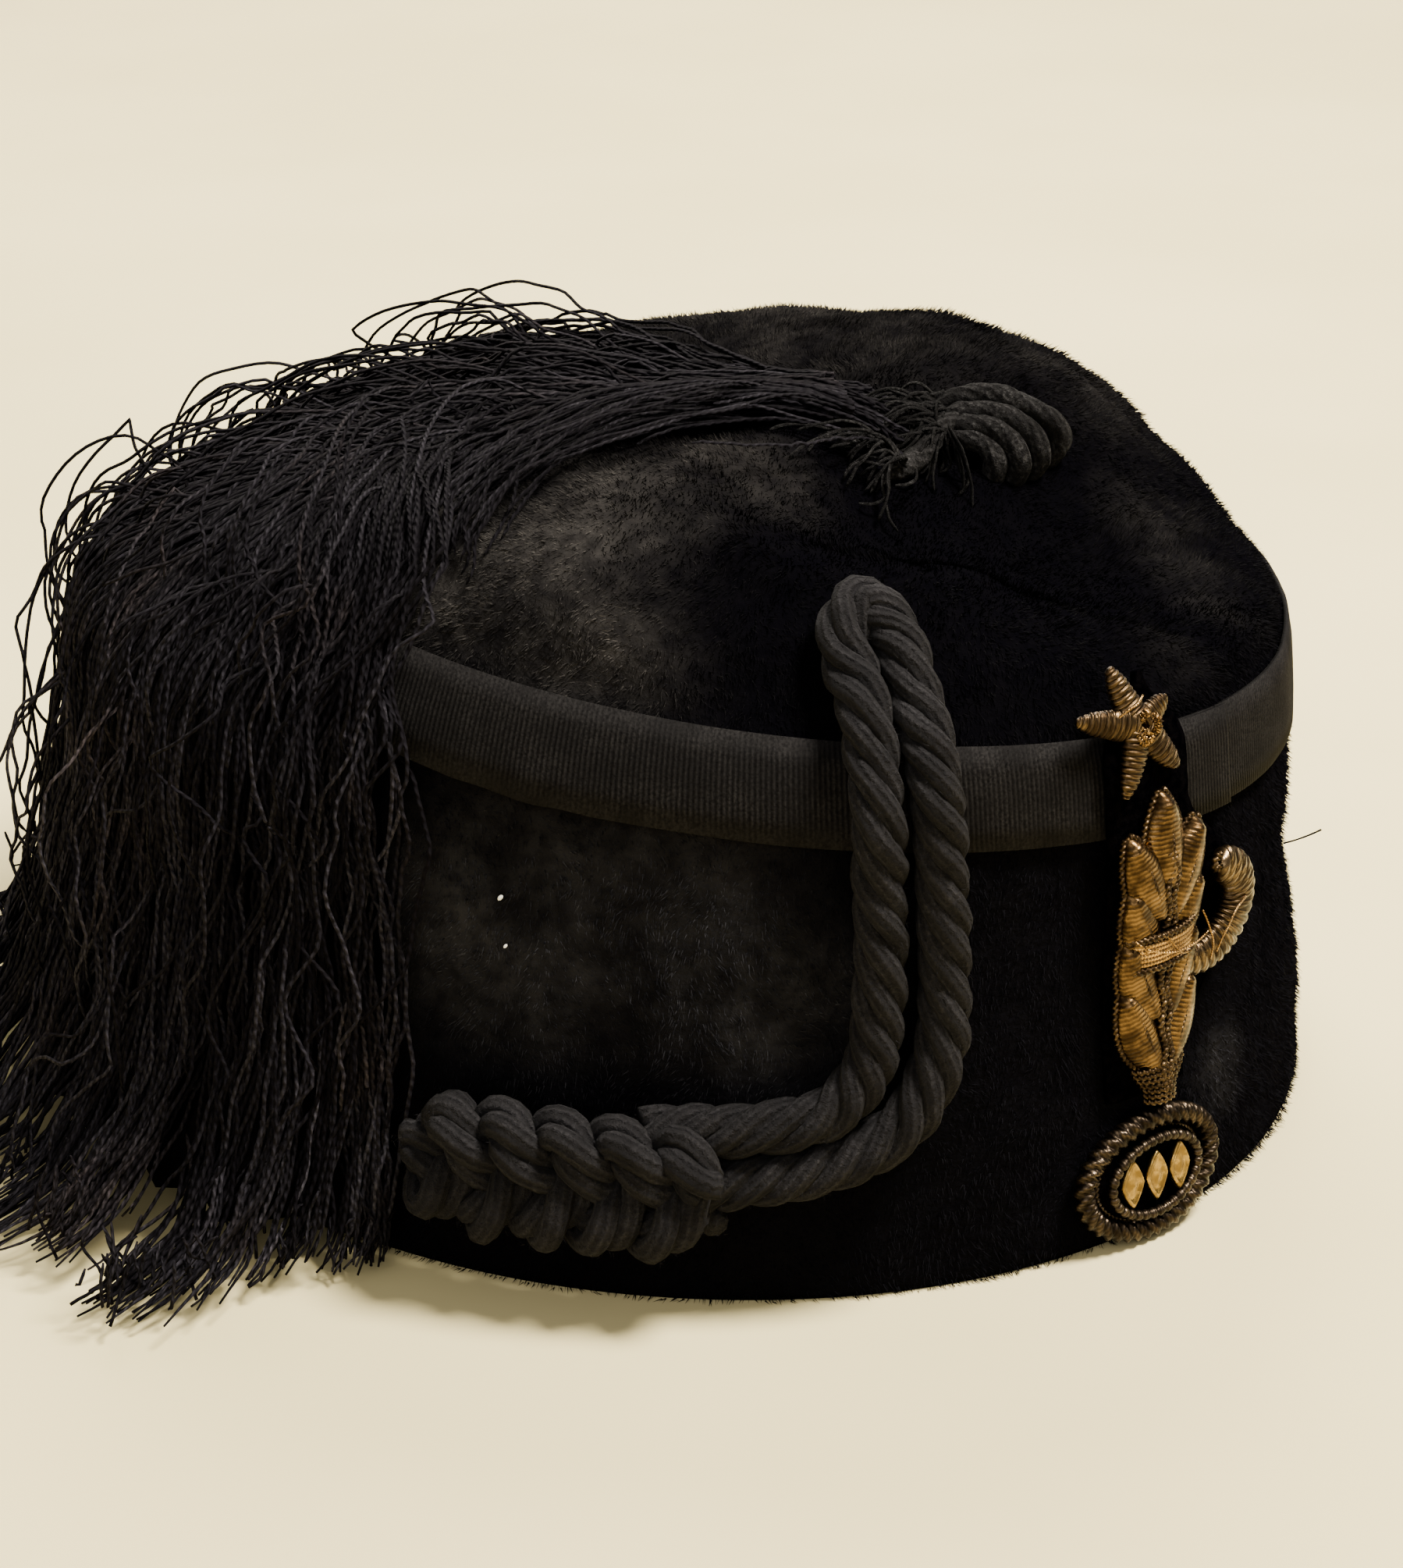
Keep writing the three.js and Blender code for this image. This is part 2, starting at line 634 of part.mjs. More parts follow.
function badgeStar() {
  const outline = (scale) => Array.from({ length: 10 }, (_, i) => {
    const a = degToRad(90 + STAR.turn + 36 * i);
    const r = STAR.radius * scale * (i % 2 ? 0.42 : 1);
    return [STAR.x + r * Math.cos(a), STAR.z + r * Math.sin(a)];
  });
  const foot = (x, z) => onBacking(z);
  return frontPad([outline(1), outline(0.5)], [0.9, 2.2], [STAR.x, STAR.z], STAR.thickness, foot);
}

// A pointed leaf on the front wall, from a base place, in a direction, pillowed along its middle
function leaf(x, z, degrees, lift = 0) {
  const a = degToRad(degrees);
  const place = (along, side) => [
    x + LEAF.length * along * Math.cos(a) - side * LEAF.width * 0.5 * Math.sin(a),
    z + LEAF.length * along * Math.sin(a) + side * LEAF.width * 0.5 * Math.cos(a),
  ];
  const outline = (s) => [
    place(0.5 - 0.5 * s, 0),
    place(0.5 - 0.15 * s, -s),
    place(0.5 + 0.22 * s, -0.8 * s),
    place(0.5 + 0.5 * s, 0),
    place(0.5 + 0.22 * s, 0.8 * s),
    place(0.5 - 0.15 * s, s),
  ];
  const foot = (px, pz) => onBacking(pz) + lift;
  const rises = [0.8, LEAF.thickness * 0.85];
  return frontPad([outline(1), outline(0.55)], rises, place(0.5, 0), LEAF.thickness, foot);
}

function sprayStem() {
  const steps = 6;
  const points = Array.from({ length: steps + 1 }, (_, j) => {
    const z = lerp(SPRAY.foot - 1, SPRAY.top - LEAF.length * 0.6, j / steps);
    return offFront(SPRAY.x, z, onBacking(z) + SPRAY.stem);
  });
  return tubeThrough(points, { radius: () => SPRAY.stem, away: outFromAxis, sides: 5 });
}

// Upright spray: pairs of leaves on a stem with one leaf at the tip and a bound foot
function badgeSpray() {
  const pitch = (SPRAY.top - SPRAY.foot - LEAF.length * 0.9) / SPRAY.pairs;
  const pieces = [leaf(SPRAY.x, SPRAY.top - LEAF.length, 91)];
  for (let i = 0; i < SPRAY.pairs; i += 1) {
    const z = SPRAY.foot + 2 + i * pitch;
    const lift = 0.03 * i; // no two leaves lie in one plane
    pieces.push(leaf(SPRAY.x - 0.8, z, 90 + LEAF.splay, lift));
    pieces.push(leaf(SPRAY.x + 0.8, z, 90 - LEAF.splay, lift + 0.015));
  }
  pieces.push(sprayStem());
  return fuse(pieces);
}

// Tendril: a crescent that leaves the spray low down and curls up beside it
function badgeTendril() {
  const steps = 8;
  const points = Array.from({ length: steps + 1 }, (_, j) => {
    const a = degToRad(lerp(-112, 64, j / steps));
    const x = TENDRIL.x + TENDRIL.halfWidth * Math.cos(a);
    const z = TENDRIL.z + TENDRIL.halfHeight * Math.sin(a);
    return offFront(x, z, onBacking(z) + TENDRIL.thickness / 2);
  });
  return tubeThrough(points, {
    radius: (j) => Math.sin(Math.PI * lerp(0.1, 0.88, j / steps)) * (TENDRIL.width / 2),
    flat: () => TENDRIL.thickness / TENDRIL.width,
    away: outFromAxis,
    sides: 6,
  });
}

function discOutline(scale, count = 22) {
  return Array.from({ length: count }, (_, i) => {
    const a = (2 * Math.PI * i) / count;
    return [DISC.x + DISC.halfWidth * scale * Math.cos(a), DISC.z + DISC.halfHeight * scale * Math.sin(a)];
  });
}

const discFoot = () => RIBBON.seat;

function badgeDisc() {
  const inside = 1 - (2 * DISC.rope + GAP) / DISC.halfHeight;
  const rings = [discOutline(inside), discOutline(inside * 0.6)];
  return frontPad(rings, [DISC.pad * 0.8, DISC.pad], [DISC.x, DISC.z], DISC.pad, discFoot);
}

// Closed ring of wire on the front wall, at a share of the disc's outline
function discRing(scale, radius, lift, sides) {
  const points = discOutline(scale).map(([x, z]) => offFront(x, z, lift));
  return tubeThrough(points, { radius: () => radius, away: outFromAxis, sides, loop: true });
}

const badgeDiscRope = () => {
  const scale = 1 - DISC.rope / DISC.halfHeight;
  return discRing(scale, DISC.rope, RIBBON.seat + DISC.rope, 6);
};

const badgeDiscBeads = () => {
  const scale = 1 - (2 * DISC.rope + GAP + 1.2 * DISC.bead) / DISC.halfHeight;
  return discRing(scale, DISC.bead, RIBBON.seat + DISC.pad + GAP + DISC.bead, 5);
};

function badgeStud(index) {
  const x = DISC.x + (index - (STUDS.count - 1) / 2) * STUDS.spacing;
  const ring = (s) => [
    [x + STUDS.halfWidth * s, DISC.z],
    [x, DISC.z + STUDS.halfHeight * s],
    [x - STUDS.halfWidth * s, DISC.z],
    [x, DISC.z - STUDS.halfHeight * s],
  ];
  const foot = () => RIBBON.seat + DISC.pad + GAP;
  return frontPad([ring(1), ring(0.5)], [0.4, STUDS.thickness], [x, DISC.z], STUDS.thickness, foot);
}

const material = (color, roughness, metalness = 0) => () => (
  new THREE.MeshStandardMaterial({ color, roughness, metalness }));
const plush = material(0x0b0a0c, 0.95);
const grosgrain = material(0x17161a, 0.7);
const cordYarn = material(0x1e1d20, 0.9);
const tasselThread = material(0x151416, 0.85);
const backingCloth = material(0x0c0b0d, 0.9);
const bullion = material(0xb8862f, 0.4, 0.85);
const darkBullion = material(0x8a6428, 0.45, 0.85);
const giltMetal = material(0xd9a94a, 0.25, 1);

function piece(name, geometry, look) {
  const mesh = new THREE.Mesh(geometry, look());
  mesh.name = name;
  return mesh;
}

const fez = new THREE.Group();
fez.add(
  piece('crown', cap(), plush),
  piece('ribbon_band', ribbonBand(), grosgrain),
  piece('side_cord', sideCord(), cordYarn),
  piece('tassel', tassel(), tasselThread),
  piece('badge_backing', badgeBacking(), backingCloth),
  piece('badge_star', badgeStar(), darkBullion),
  piece('badge_spray', badgeSpray(), bullion),
  piece('badge_tendril', badgeTendril(), bullion),
  piece('badge_disc', badgeDisc(), backingCloth),
  piece('badge_disc_rope', badgeDiscRope(), darkBullion),
  piece('badge_disc_beads', badgeDiscBeads(), bullion),
);
for (let i = 0; i < STUDS.count; i += 1) fez.add(piece(`badge_stud_${i + 1}`, badgeStud(i), giltMetal));

// The origin is the middle of the whole part's base
const bounds = new THREE.Box3().setFromObject(fez);
const middle = bounds.getCenter(new THREE.Vector3());
fez.position.set(-middle.x, -middle.y, -bounds.min.z);

export default fez;
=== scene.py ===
# A black plush fez with a ribbed ribbon, a looped and plaited side cord, a long tassel of twisted thread
# and a gold bullion badge, standing on its rim on a pale floor.
# Shapes are worked out in millimetres about the hat's own axis, with the front at -Y and the wearer's
# right at -X. new_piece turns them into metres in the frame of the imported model.
import math

import bpy
import numpy as np
from mathutils import Matrix, Vector


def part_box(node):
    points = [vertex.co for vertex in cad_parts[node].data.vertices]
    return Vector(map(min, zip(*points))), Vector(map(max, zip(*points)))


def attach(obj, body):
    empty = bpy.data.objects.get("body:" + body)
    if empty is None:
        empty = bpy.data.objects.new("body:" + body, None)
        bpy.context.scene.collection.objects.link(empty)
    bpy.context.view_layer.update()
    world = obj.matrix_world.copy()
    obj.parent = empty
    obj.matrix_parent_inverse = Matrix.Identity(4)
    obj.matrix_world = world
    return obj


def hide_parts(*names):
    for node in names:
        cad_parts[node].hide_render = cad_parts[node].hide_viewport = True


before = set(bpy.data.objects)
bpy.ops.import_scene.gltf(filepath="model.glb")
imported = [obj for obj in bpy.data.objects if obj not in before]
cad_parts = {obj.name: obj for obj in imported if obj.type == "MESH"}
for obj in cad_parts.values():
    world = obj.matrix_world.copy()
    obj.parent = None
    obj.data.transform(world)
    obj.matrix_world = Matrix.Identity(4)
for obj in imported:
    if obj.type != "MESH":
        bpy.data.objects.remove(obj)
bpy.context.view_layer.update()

MM = 0.001
TAU = 2 * math.pi

# Cap, from the frame: its rim gives the axis and the half axes of the oval
CROWN_LOW, CROWN_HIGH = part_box("crown")
AXIS = np.array([(CROWN_LOW.x + CROWN_HIGH.x) / 2, (CROWN_LOW.y + CROWN_HIGH.y) / 2, 0.0]) / MM
HALF_WIDTH = (CROWN_HIGH.x - CROWN_LOW.x) / 2 / MM
HALF_LENGTH = (CROWN_HIGH.y - CROWN_LOW.y) / 2 / MM
WALL = 3.0
LEAN = np.array([0.772, -0.636])  # the crown slumps this way

# Sections of the cap from rim to crown centre: height, spread of the oval, lean, rise of the LEAN edge
SECTIONS = np.array([
    (0, 1.0, 0, 0),
    (20, 0.99, 0, 0),
    (40, 0.975, 0, 0),
    (60, 0.96, 0, 0),
    (76, 0.943, 0, 0),
    (86, 0.88, 1, 0),
    (93.5, 0.79, 1, 1),
    (99, 0.67, 2, 3),
    (102.5, 0.5, 5, 5),
    (104.5, 0.32, 10, 4),
    (105, 0.15, 16, 2),
    (105, 0.0, 22, 0),
])
# Dents of the soft crown: across along LEAN, near the dented side, reach, sink, push
DENTS = (
    (52, 34, 42, 17, 2),
    (20, 50, 22, 7, 2),
    (2, -6, 42, 3, 0),
    (44, -30, 50, -1, 0),
    (88, 8, 46, 4, 4),
    (-12, 46, 54, -7, -3),
    (-60, -25, 82, 10, 1),
)
STIFF_BELOW = 72
SOFT_ABOVE = 94

# Small folds that stand on the felt: from x, y, z to x, y, z, half width and height
FOLDS = (
    (6, -77, 86, 17, -92, 79, 5.0, 2.6),
    (33, -89, 66, 33, -94, 8, 3.0, -1.6),
    (-30, -57, 101, -42, -62, 96, 6.0, 1.6),
    (44, -74, 84, 30, -62, 88, 6.0, 1.8),
    (-20, 70, 96, 30, 62, 98, 7.0, 1.8),
    (70, 20, 90, 62, 48, 92, 6.0, 1.6),
    (72, -56, 39, 50, -84, 41, 9.0, -3.0),
)
# Painted sheen, where the nap catches the light and looks lighter: x, y, z, reach, strength
NAP_SHEEN_PATCHES = (
    (-58, -32, 101, 30, 1.0),
    (-44, -34, 104, 24, 0.9),
    (-26, -34, 106, 20, 0.75),
    (-63, -50, 90, 20, 0.85),
    (-74, -50, 54, 24, 0.85),
    (-62, -68, 57, 22, 0.75),
    (-52, -79, 46, 18, 0.6),
    (32, -2, 107, 36, 0.4),
    (56, -26, 100, 22, 0.3),
    (14, -86, 80, 8, 0.3),
    (18, -98, 19, 8, 0.6),
    (50, 40, 100, 40, 0.5),
    (86, 26, 60, 34, 0.4),
    (-20, 84, 96, 30, 0.4),
    (60, 76, 40, 34, 0.4),
    (84, -34, 50, 26, 0.3),
    (45, -56, 89, 11, 0.32),
    (41, -68, 84, 10, 0.3),
    (37, -77, 82, 9, 0.26),
)
# Painted shadow that keeps the nap black in places, such as under the sheaf of loose threads over the
# crown: x, y, z, reach, strength
NAP_SHADOWS = (
    (-36, -60, 99, 16, 1.0),
    (-10, -24, 108, 14, 0.9),
    (-24, -19, 109, 10, 0.7),
    (-46, -58, 90, 9, 0.8),
)

NAP_HAIRS = 113000  # on the side, and again on the top
NAP_HALF_WIDTH = 0.112
NAP_SIDE = (0.0, 0.40)  # shares of the way up
NAP_TOP = (0.36, 0.97)

# Ribbon: tilted lower edge, width along the felt and lift of the lapped end
RIBBON_HEIGHT = 72.7
RIBBON_SLOPE = (-0.0946, 0.1079)
RIBBON_SPREAD = 0.95
RIBBON_WIDTH = 14.4
RIBBON_THICKNESS = 0.8
RIBBON_SEAT = 0.7
RIBBON_START = -84.0
RIBBON_END = 282.5
RIBBON_LAP = 1.15
RIBBON_LAP_CLIMB = (258, 276)  # degrees between which the end climbs on the start
RIBBON_PUCKER = (213, 16)  # degrees where the foot is puckered, and how far to each side
RIB_PITCH = 0.72
RIB_RELIEF = 0.2

# Side cord: route of its two strands as degrees round the cap and share of the way up
CORD_ROUTE = np.array([
    (-137, 0.127),
    (-128, 0.130),
    (-121.5, 0.141),
    (-118.2, 0.176),
    (-117.3, 0.23),
    (-117.2, 0.29),
    (-117.3, 0.345),
    (-117.9, 0.42),
    (-118.5, 0.47),
    (-118.6, 0.518),
    (-116.2, 0.549),
    (-113.6, 0.515),
    (-113.2, 0.45),
    (-112.4, 0.37),
    (-112.0, 0.29),
    (-111.8, 0.215),
    (-112.6, 0.168),
    (-115.4, 0.13),
    (-121.2, 0.105),
    (-129, 0.094),
    (-138, 0.083),
])
CORD_RADIUS = 3.8
CORD_SEAT = 0.5
CORD_PLIES = 4
LAY_PITCH = 23.0  # one turn of the plies
YARNS = 8  # ridges of yarn round each ply
CORD_FIBRES = 5000
FIBRE_LENGTH = 1.3

# Plait at the low end of the cord
PLAIT_FROM = -131.5
PLAIT_TO = -156.0
PLAIT_HEIGHT = 20.5
PLAIT_ACROSS = 6.9
PLAIT_OUT = 2.7
PLAIT_TURNS = 1.75
PLAIT_RADIUS = 3.75
PLAIT_PITCH = 26.0

# Plies of the tassel's head, each by places along LEAN and away from it, with the lift: four arches and
# one cut end
HEAD_PLIES = (
    ((36.9, -10.0, 0.6), (40.6, -8.4, 3.0), (45.3, -8.1, 5.2), (50.6, -9.1, 6.2), (54.8, -9.8, 5.8),
     (57.0, -10.2, 3.6), (57.0, -11.0, 0.8), (55.8, -11.6, -2.0)),
    ((37.4, -11.6, 0.6), (41.6, -10.8, 3.4), (46.3, -10.9, 5.4), (50.3, -12.1, 5.6), (53.0, -13.3, 4.2),
     (54.0, -14.0, 1.6), (53.4, -14.4, -2.0)),
    ((37.9, -13.2, 0.8), (42.0, -13.0, 3.6), (45.8, -13.4, 4.9), (48.8, -14.7, 4.4), (50.7, -15.8, 2.4),
     (50.8, -16.4, -2.0)),
    ((37.9, -14.4, 0.8), (41.6, -14.8, 2.8), (44.4, -15.4, 3.4), (46.6, -16.6, 2.4), (47.4, -17.6, -2.0)),
    ((41.0, -11.4, 3.2), (37.6, -14.6, 3.4), (35.9, -18.0, 2.7), (34.0, -21.2, 2.1), (31.4, -25.2, 1.5),
     (28.6, -29.6, 1.0), (27.4, -32.4, 0.6)),
)
HEAD_PLY_RADIUS = 1.75

# Tassel: the fan of threads from its root over the top, and down the side between two directions
ROOT = np.array([8.0, -25.0])
FAN_FIRST = -161.2
FAN_LAST = -284.0
FAN_BOW = 34.0
EDGE_UP = 0.49  # share of the way up at which the threads turn down
# Over the top, by share of the way to the edge: off the felt, depth of the bundle
FAN_TOP = np.array([(0.0, 0.6, 4.0), (0.2, 0.6, 5.0), (0.4, 0.6, 5.5), (0.6, 0.7, 5.2), (0.8, 0.9, 4.2),
                    (1.0, 0.8, 3.2)])
# Down the side: share of the way up, and how far off the felt the outermost threads hang
FAN_SIDE = np.array([(0.49, 2.9), (0.43, 3.8), (0.33, 6.6), (0.235, 8.6), (0.15, 12.8), (0.08, 19.5),
                     (0.035, 29.5), (0.016, 40.5), (0.006, 49.5)])
SIDE_RUN = np.array([0, 12, 30, 48, 65, 80, 90, 96, 101]) / 101  # share of the fall at each of those rows
# How much more or less the fan stands out, by share round it
FAN_STAND = np.array([(0.0, 0.18), (0.025, 0.6), (0.05, 1.0), (0.09, 1.12), (0.17, 1.12), (0.26, 1.02),
                      (0.5, 0.86), (1.0, 0.75)])
OVER_TOP = 0.46  # share of a thread's knots that lie on the top of the cap
THREAD_LENGTH = 215.0
THREAD_RADIUS = 0.34
THREAD_STEP = 2.35
THREAD_TWIST = 1.7  # millimetres along a thread for one turn of its two plies
FAN_ARC = math.radians(FAN_FIRST - FAN_LAST) * 95  # millimetres round the fan
LOCKS = 60  # locks in each of the two halves of the body
LOCK_THREADS = 5
STRAY_THREADS = 46
STRAY_LOOPS = 190
WISPS = 130
WISP_ROUTE = np.array([(16.0, -31), (5, -22), (-9, -17), (-24, -15), (-39, -15), (-53, -18), (-66, -25)])
FRAYED_YARNS = 130
END_CURLS = 300
TUFTS = (np.arange(25) + 0.3 * np.sin(np.arange(25) * 5.1)) / 24  # places where the ends mat together

# Badge: places on the front wall are x across and z up
STIFF_ABOVE = 77
STIFF_SLOPE = 0.22
BACKING_THICKNESS = 1.2
BACKING_FOOT = 23
BACKING_TOP = 85
SPRAY_X = 0.3
SPRAY_FOOT = 24.6
SPRAY_TOP = 69.5
LEAF_PAIRS = 4
LEAF_LENGTH = 15.0
LEAF_WIDTH = 7.2
LEAF_THICKNESS = 3.4
LEAF_SPLAY = 22
TIE_FOOT = 44.6
TIE_WIRES = 5
TIE_PITCH = 0.72
TIE_CORDS = (43.7, 48.6)
STAR_X = -2.9
STAR_Z = 77.8
STAR_HALF_WIDTH = 2.25
STAR_ARMS = ((111, 9.5), (164, 10.0), (249, 8.8), (316, 8.9), (24, 6.3))  # direction and length
TENDRIL_X = 8.5
TENDRIL_Z = 48.0
TENDRIL_HALF_WIDTH = 8.4
TENDRIL_HALF_HEIGHT = 7.1
TENDRIL_FROM = -112  # degrees
TENDRIL_SWEEP = 180
DISC_X = -0.6
DISC_Z = 10.3
DISC_HALF_WIDTH = 14.5
DISC_HALF_HEIGHT = 10.0
DISC_ROPE = 1.5
DISC_BEAD = 0.8
BEAD_PITCH = 1.45
DISC_PAD = 1.8
# Low solids of the disc: scale of the outline and rise, from the felt up
PAD_PROFILE = ((1.06, 0.0), (1.07, 0.9), (1.0, 1.55), (0.85, 1.75), (0.6, 1.82), (0.3, 1.84), (0.02, 1.84))
STUD_PITCH = 4.6
STUD_HALF_WIDTH = 2.05
STUD_HALF_HEIGHT = 3.9
STUD_PROFILE = ((1.0, 0.0), (1.02, 0.55), (0.93, 0.85), (0.78, 0.85), (0.7, 0.45), (0.35, 0.75),
                (0.03, 0.95))
COIL_WIRE = 0.42
# Gold threads that have come away: x, z, length, degrees, lift
LOOSE_WIRES = (
    (-4.5, 47, 12, -15, 3.6),
    (-5.5, 49, 4, -60, 2.6),
    (6, 50, 9, -70, 3.4),
    (10, 42, 9, 65, 3.2),
    (4, 44, 7, 150, 3.6),
    (-3, 82, 5, 200, 3.0),
)

# Lint on the plush: degrees, height, size; and a stray hair
LINT = ((-149.3, 59.1, 0.55), (-148.9, 52.1, 0.4))
HAIR_START = (-60.1, 43.6, 0.5)

# Gold wires: dark and light tone, roughness, pitch and turns of the fine wire, relief
GOLD_WIRES = {
    "dark_bullion": ((0.028, 0.017, 0.009), (0.12, 0.077, 0.038), 0.36, 0.55, 1.0, 0.08),
    "bullion": ((0.03, 0.017, 0.007), (0.17, 0.1, 0.04), 0.27, 0.7, 0.0, 0.05),
    "pale_bullion": ((0.17, 0.09, 0.03), (0.5, 0.3, 0.11), 0.26, 0.5, 1.0, 0.05),
    "bronze_bullion": ((0.035, 0.022, 0.012), (0.17, 0.115, 0.062), 0.3, 0.55, 1.0, 0.08),
    "worn_bullion": ((0.018, 0.013, 0.009), (0.085, 0.062, 0.042), 0.34, 0.5, 1.0, 0.05),
}

# Tones of the plush, below and above the heights where they change. The dark tones are darker higher up,
# painted shade in the crown's hollow; the light tones are the colour of the painted sheen.
PLUSH_CHANGES = (60, 86)
PLUSH_DARK = ((0.0013, 0.0012, 0.0017), (0.0006, 0.00055, 0.001))
PLUSH_SHEEN_PAINT = ((0.0168, 0.0166, 0.0188), (0.0162, 0.015, 0.0145))
NAP_DARK = ((0.0013, 0.0012, 0.0018), (0.00045, 0.0004, 0.0008))
NAP_SHEEN_PAINT = ((0.05, 0.0495, 0.0565), (0.045, 0.0415, 0.0385))
WARM_SHEEN = (1.0, 0.97, 0.95)

# Floor, light, camera and frame of the photograph
FLOOR_HALF = 4.0  # metres
FLOOR_TONES = ((0.53, 0.455, 0.24), (0.57, 0.49, 0.265))
WARM_LIGHT = (1.0, 0.93, 0.8)
# Lamps: name, place, size in metres, power, colour
LAMPS = (
    ("key", (0.35, -0.55, 1.25), 0.42, 92, WARM_LIGHT),
    ("back", (0.55, 0.75, 1.0), 0.8, 46, WARM_LIGHT),
    ("fill", (-0.95, -0.75, 0.75), 1.0, 10, (0.97, 0.93, 0.84)),
)
LAMP_AIM = (0, 0, 0.06)
ROOM_LIGHT = (1.0, 0.95, 0.84)
ROOM_STRENGTH = 0.5
CAMERA_AZIMUTH = -39.48
CAMERA_ELEVATION = 22.49
CAMERA_ROLL = -1.04
CAMERA_DISTANCE = 620.13
CAMERA_AIM_HEIGHT = 56.67
CAMERA_ASIDE = 0.83
CAMERA_BELOW = 15.98
CAMERA_LENS = 89.69


# Numbers and noise

def unit(v):
    return v / np.maximum(np.linalg.norm(v, axis=-1, keepdims=True), 1e-9)


def ramp(x, low, high):
    t = np.clip((x - low) / (high - low), 0, 1)
    return t * t * (3 - 2 * t)


def bump(distance, reach):
    s = np.minimum(1, np.abs(distance) / reach)
    return (1 - s * s) ** 2


LATTICE = np.random.default_rng(5).uniform(-1, 1, (32, 32, 32))


def grain(points, size, seed=0):
    """Smooth noise from -1 to 1 at points, with bumps about size across."""
    p = np.asarray(points) / size + 7.31 * seed + 100
    i = np.floor(p).astype(int)
    f = p - i
    f = f * f * (3 - 2 * f)
    total = 0
    for dx in (0, 1):
        for dy in (0, 1):
            for dz in (0, 1):
                corner = LATTICE[(i[..., 0] + dx) % 32, (i[..., 1] + dy) % 32, (i[..., 2] + dz) % 32]
                wx = f[..., 0] if dx else 1 - f[..., 0]
                wy = f[..., 1] if dy else 1 - f[..., 1]
                wz = f[..., 2] if dz else 1 - f[..., 2]
                total = total + corner * wx * wy * wz
    return total


def waves(x, size, seed):
    """Smooth noise along one axis; x and seed may be arrays."""
    x, seed = np.broadcast_arrays(np.asarray(x, float), np.asarray(seed, float))
    return grain(np.stack([x, x * 0 + seed * 3.7 * size, x * 0 + seed * 1.9 * size], axis=-1), size)


def wander(mile, seed, *steps):
    """Sum of waves along a thread; each step is an amount, a size and what it adds to the seed."""
    return sum(amount * waves(mile, size, seed + more) for amount, size, more in steps)


def arch(t):
    return np.sin(math.pi * t)


def through(values, row):
    """Catmull-Rom value of a table at a fractional row."""
    last = len(values) - 1
    i = np.clip(np.floor(row).astype(int), 0, last - 1)
    f = (row - i)[..., None]
    a, b, c, d = (values[np.clip(i + k, 0, last)] for k in (-1, 0, 1, 2))
    return b + 0.5 * f * (c - a + f * (2 * a - 5 * b + 4 * c - d + f * (3 * (b - c) + d - a)))


# The cap's surface

def section_at(share):
    return through(SECTIONS, np.clip(share, 0, 1) * (len(SECTIONS) - 1))


def cap_point(angle, share):
    """Outer surface of the cap at an angle round it and a share of the way from rim to crown centre."""
    angle, share = np.broadcast_arrays(np.asarray(angle, float), np.asarray(share, float))
    height, spread, lean, rise = np.moveaxis(section_at(share), -1, 0)
    ux = np.cos(angle)
    uy = np.sin(angle)
    x = HALF_WIDTH * np.maximum(spread, 0) * ux + lean * LEAN[0]
    y = HALF_LENGTH * np.maximum(spread, 0) * uy + lean * LEAN[1]
    z = height + rise * (ux * LEAN[0] + uy * LEAN[1])
    soft = ramp(z, STIFF_BELOW, SOFT_ABOVE)
    along = x * LEAN[0] + y * LEAN[1]
    aside = x * LEAN[1] - y * LEAN[0]
    for across, near, reach, sink, push in DENTS:
        depth = soft * bump(np.hypot(along - across, aside - near), reach)
        z = z - sink * depth
        x = x - push * depth * ux
        y = y - push * depth * uy
    return np.stack([x, y, z], axis=-1)


def cap_normal(angle, share):
    angle, share = np.broadcast_arrays(np.asarray(angle, float), np.asarray(share, float))
    low = cap_point(angle, np.maximum(0, share - 0.004))
    high = cap_point(angle, share + 0.004)
    left = cap_point(angle - 0.02, share)
    right = cap_point(angle + 0.02, share)
    normal = np.cross(right - left, high - low)
    normal[share > 0.985] = (0, 0, 1)
    return unit(normal)


def off_cap(angle, share, lift):
    angle, share, lift = np.broadcast_arrays(*(np.asarray(v, float) for v in (angle, share, lift)))
    return cap_point(angle, share) + cap_normal(angle, share) * lift[..., None]


def share_at_height(angle, height):
    angle, height = np.broadcast_arrays(np.asarray(angle, float), np.asarray(height, float))
    low = np.zeros(angle.shape)
    high = np.full(angle.shape, 0.75)
    for _ in range(24):
        middle = (low + high) / 2
        under = cap_point(angle, middle)[..., 2] < height
        low = np.where(under, middle, low)
        high = np.where(under, high, middle)
    return low


def off_side(degrees, height, lift):
    angle = np.radians(degrees)
    return off_cap(angle, share_at_height(angle, height), lift)


def angle_share(x, y):
    """Angle and share on the top of the cap under a place in plan."""
    x, y = np.broadcast_arrays(np.asarray(x, float), np.asarray(y, float))
    low = np.full(x.shape, 0.3)
    high = np.ones(x.shape)
    angle = np.zeros(x.shape)
    for _ in range(24):
        middle = (low + high) / 2
        _, spread, lean, _ = np.moveaxis(section_at(middle), -1, 0)
        u = (x - lean * LEAN[0]) / (HALF_WIDTH * np.maximum(spread, 1e-4))
        v = (y - lean * LEAN[1]) / (HALF_LENGTH * np.maximum(spread, 1e-4))
        angle = np.arctan2(v, u)
        inside = np.hypot(u, v) < 1
        low = np.where(inside, middle, low)
        high = np.where(inside, high, middle)
    return angle, low


def off_top(x, y, lift):
    angle, share = angle_share(x, y)
    return off_cap(angle, share, lift)


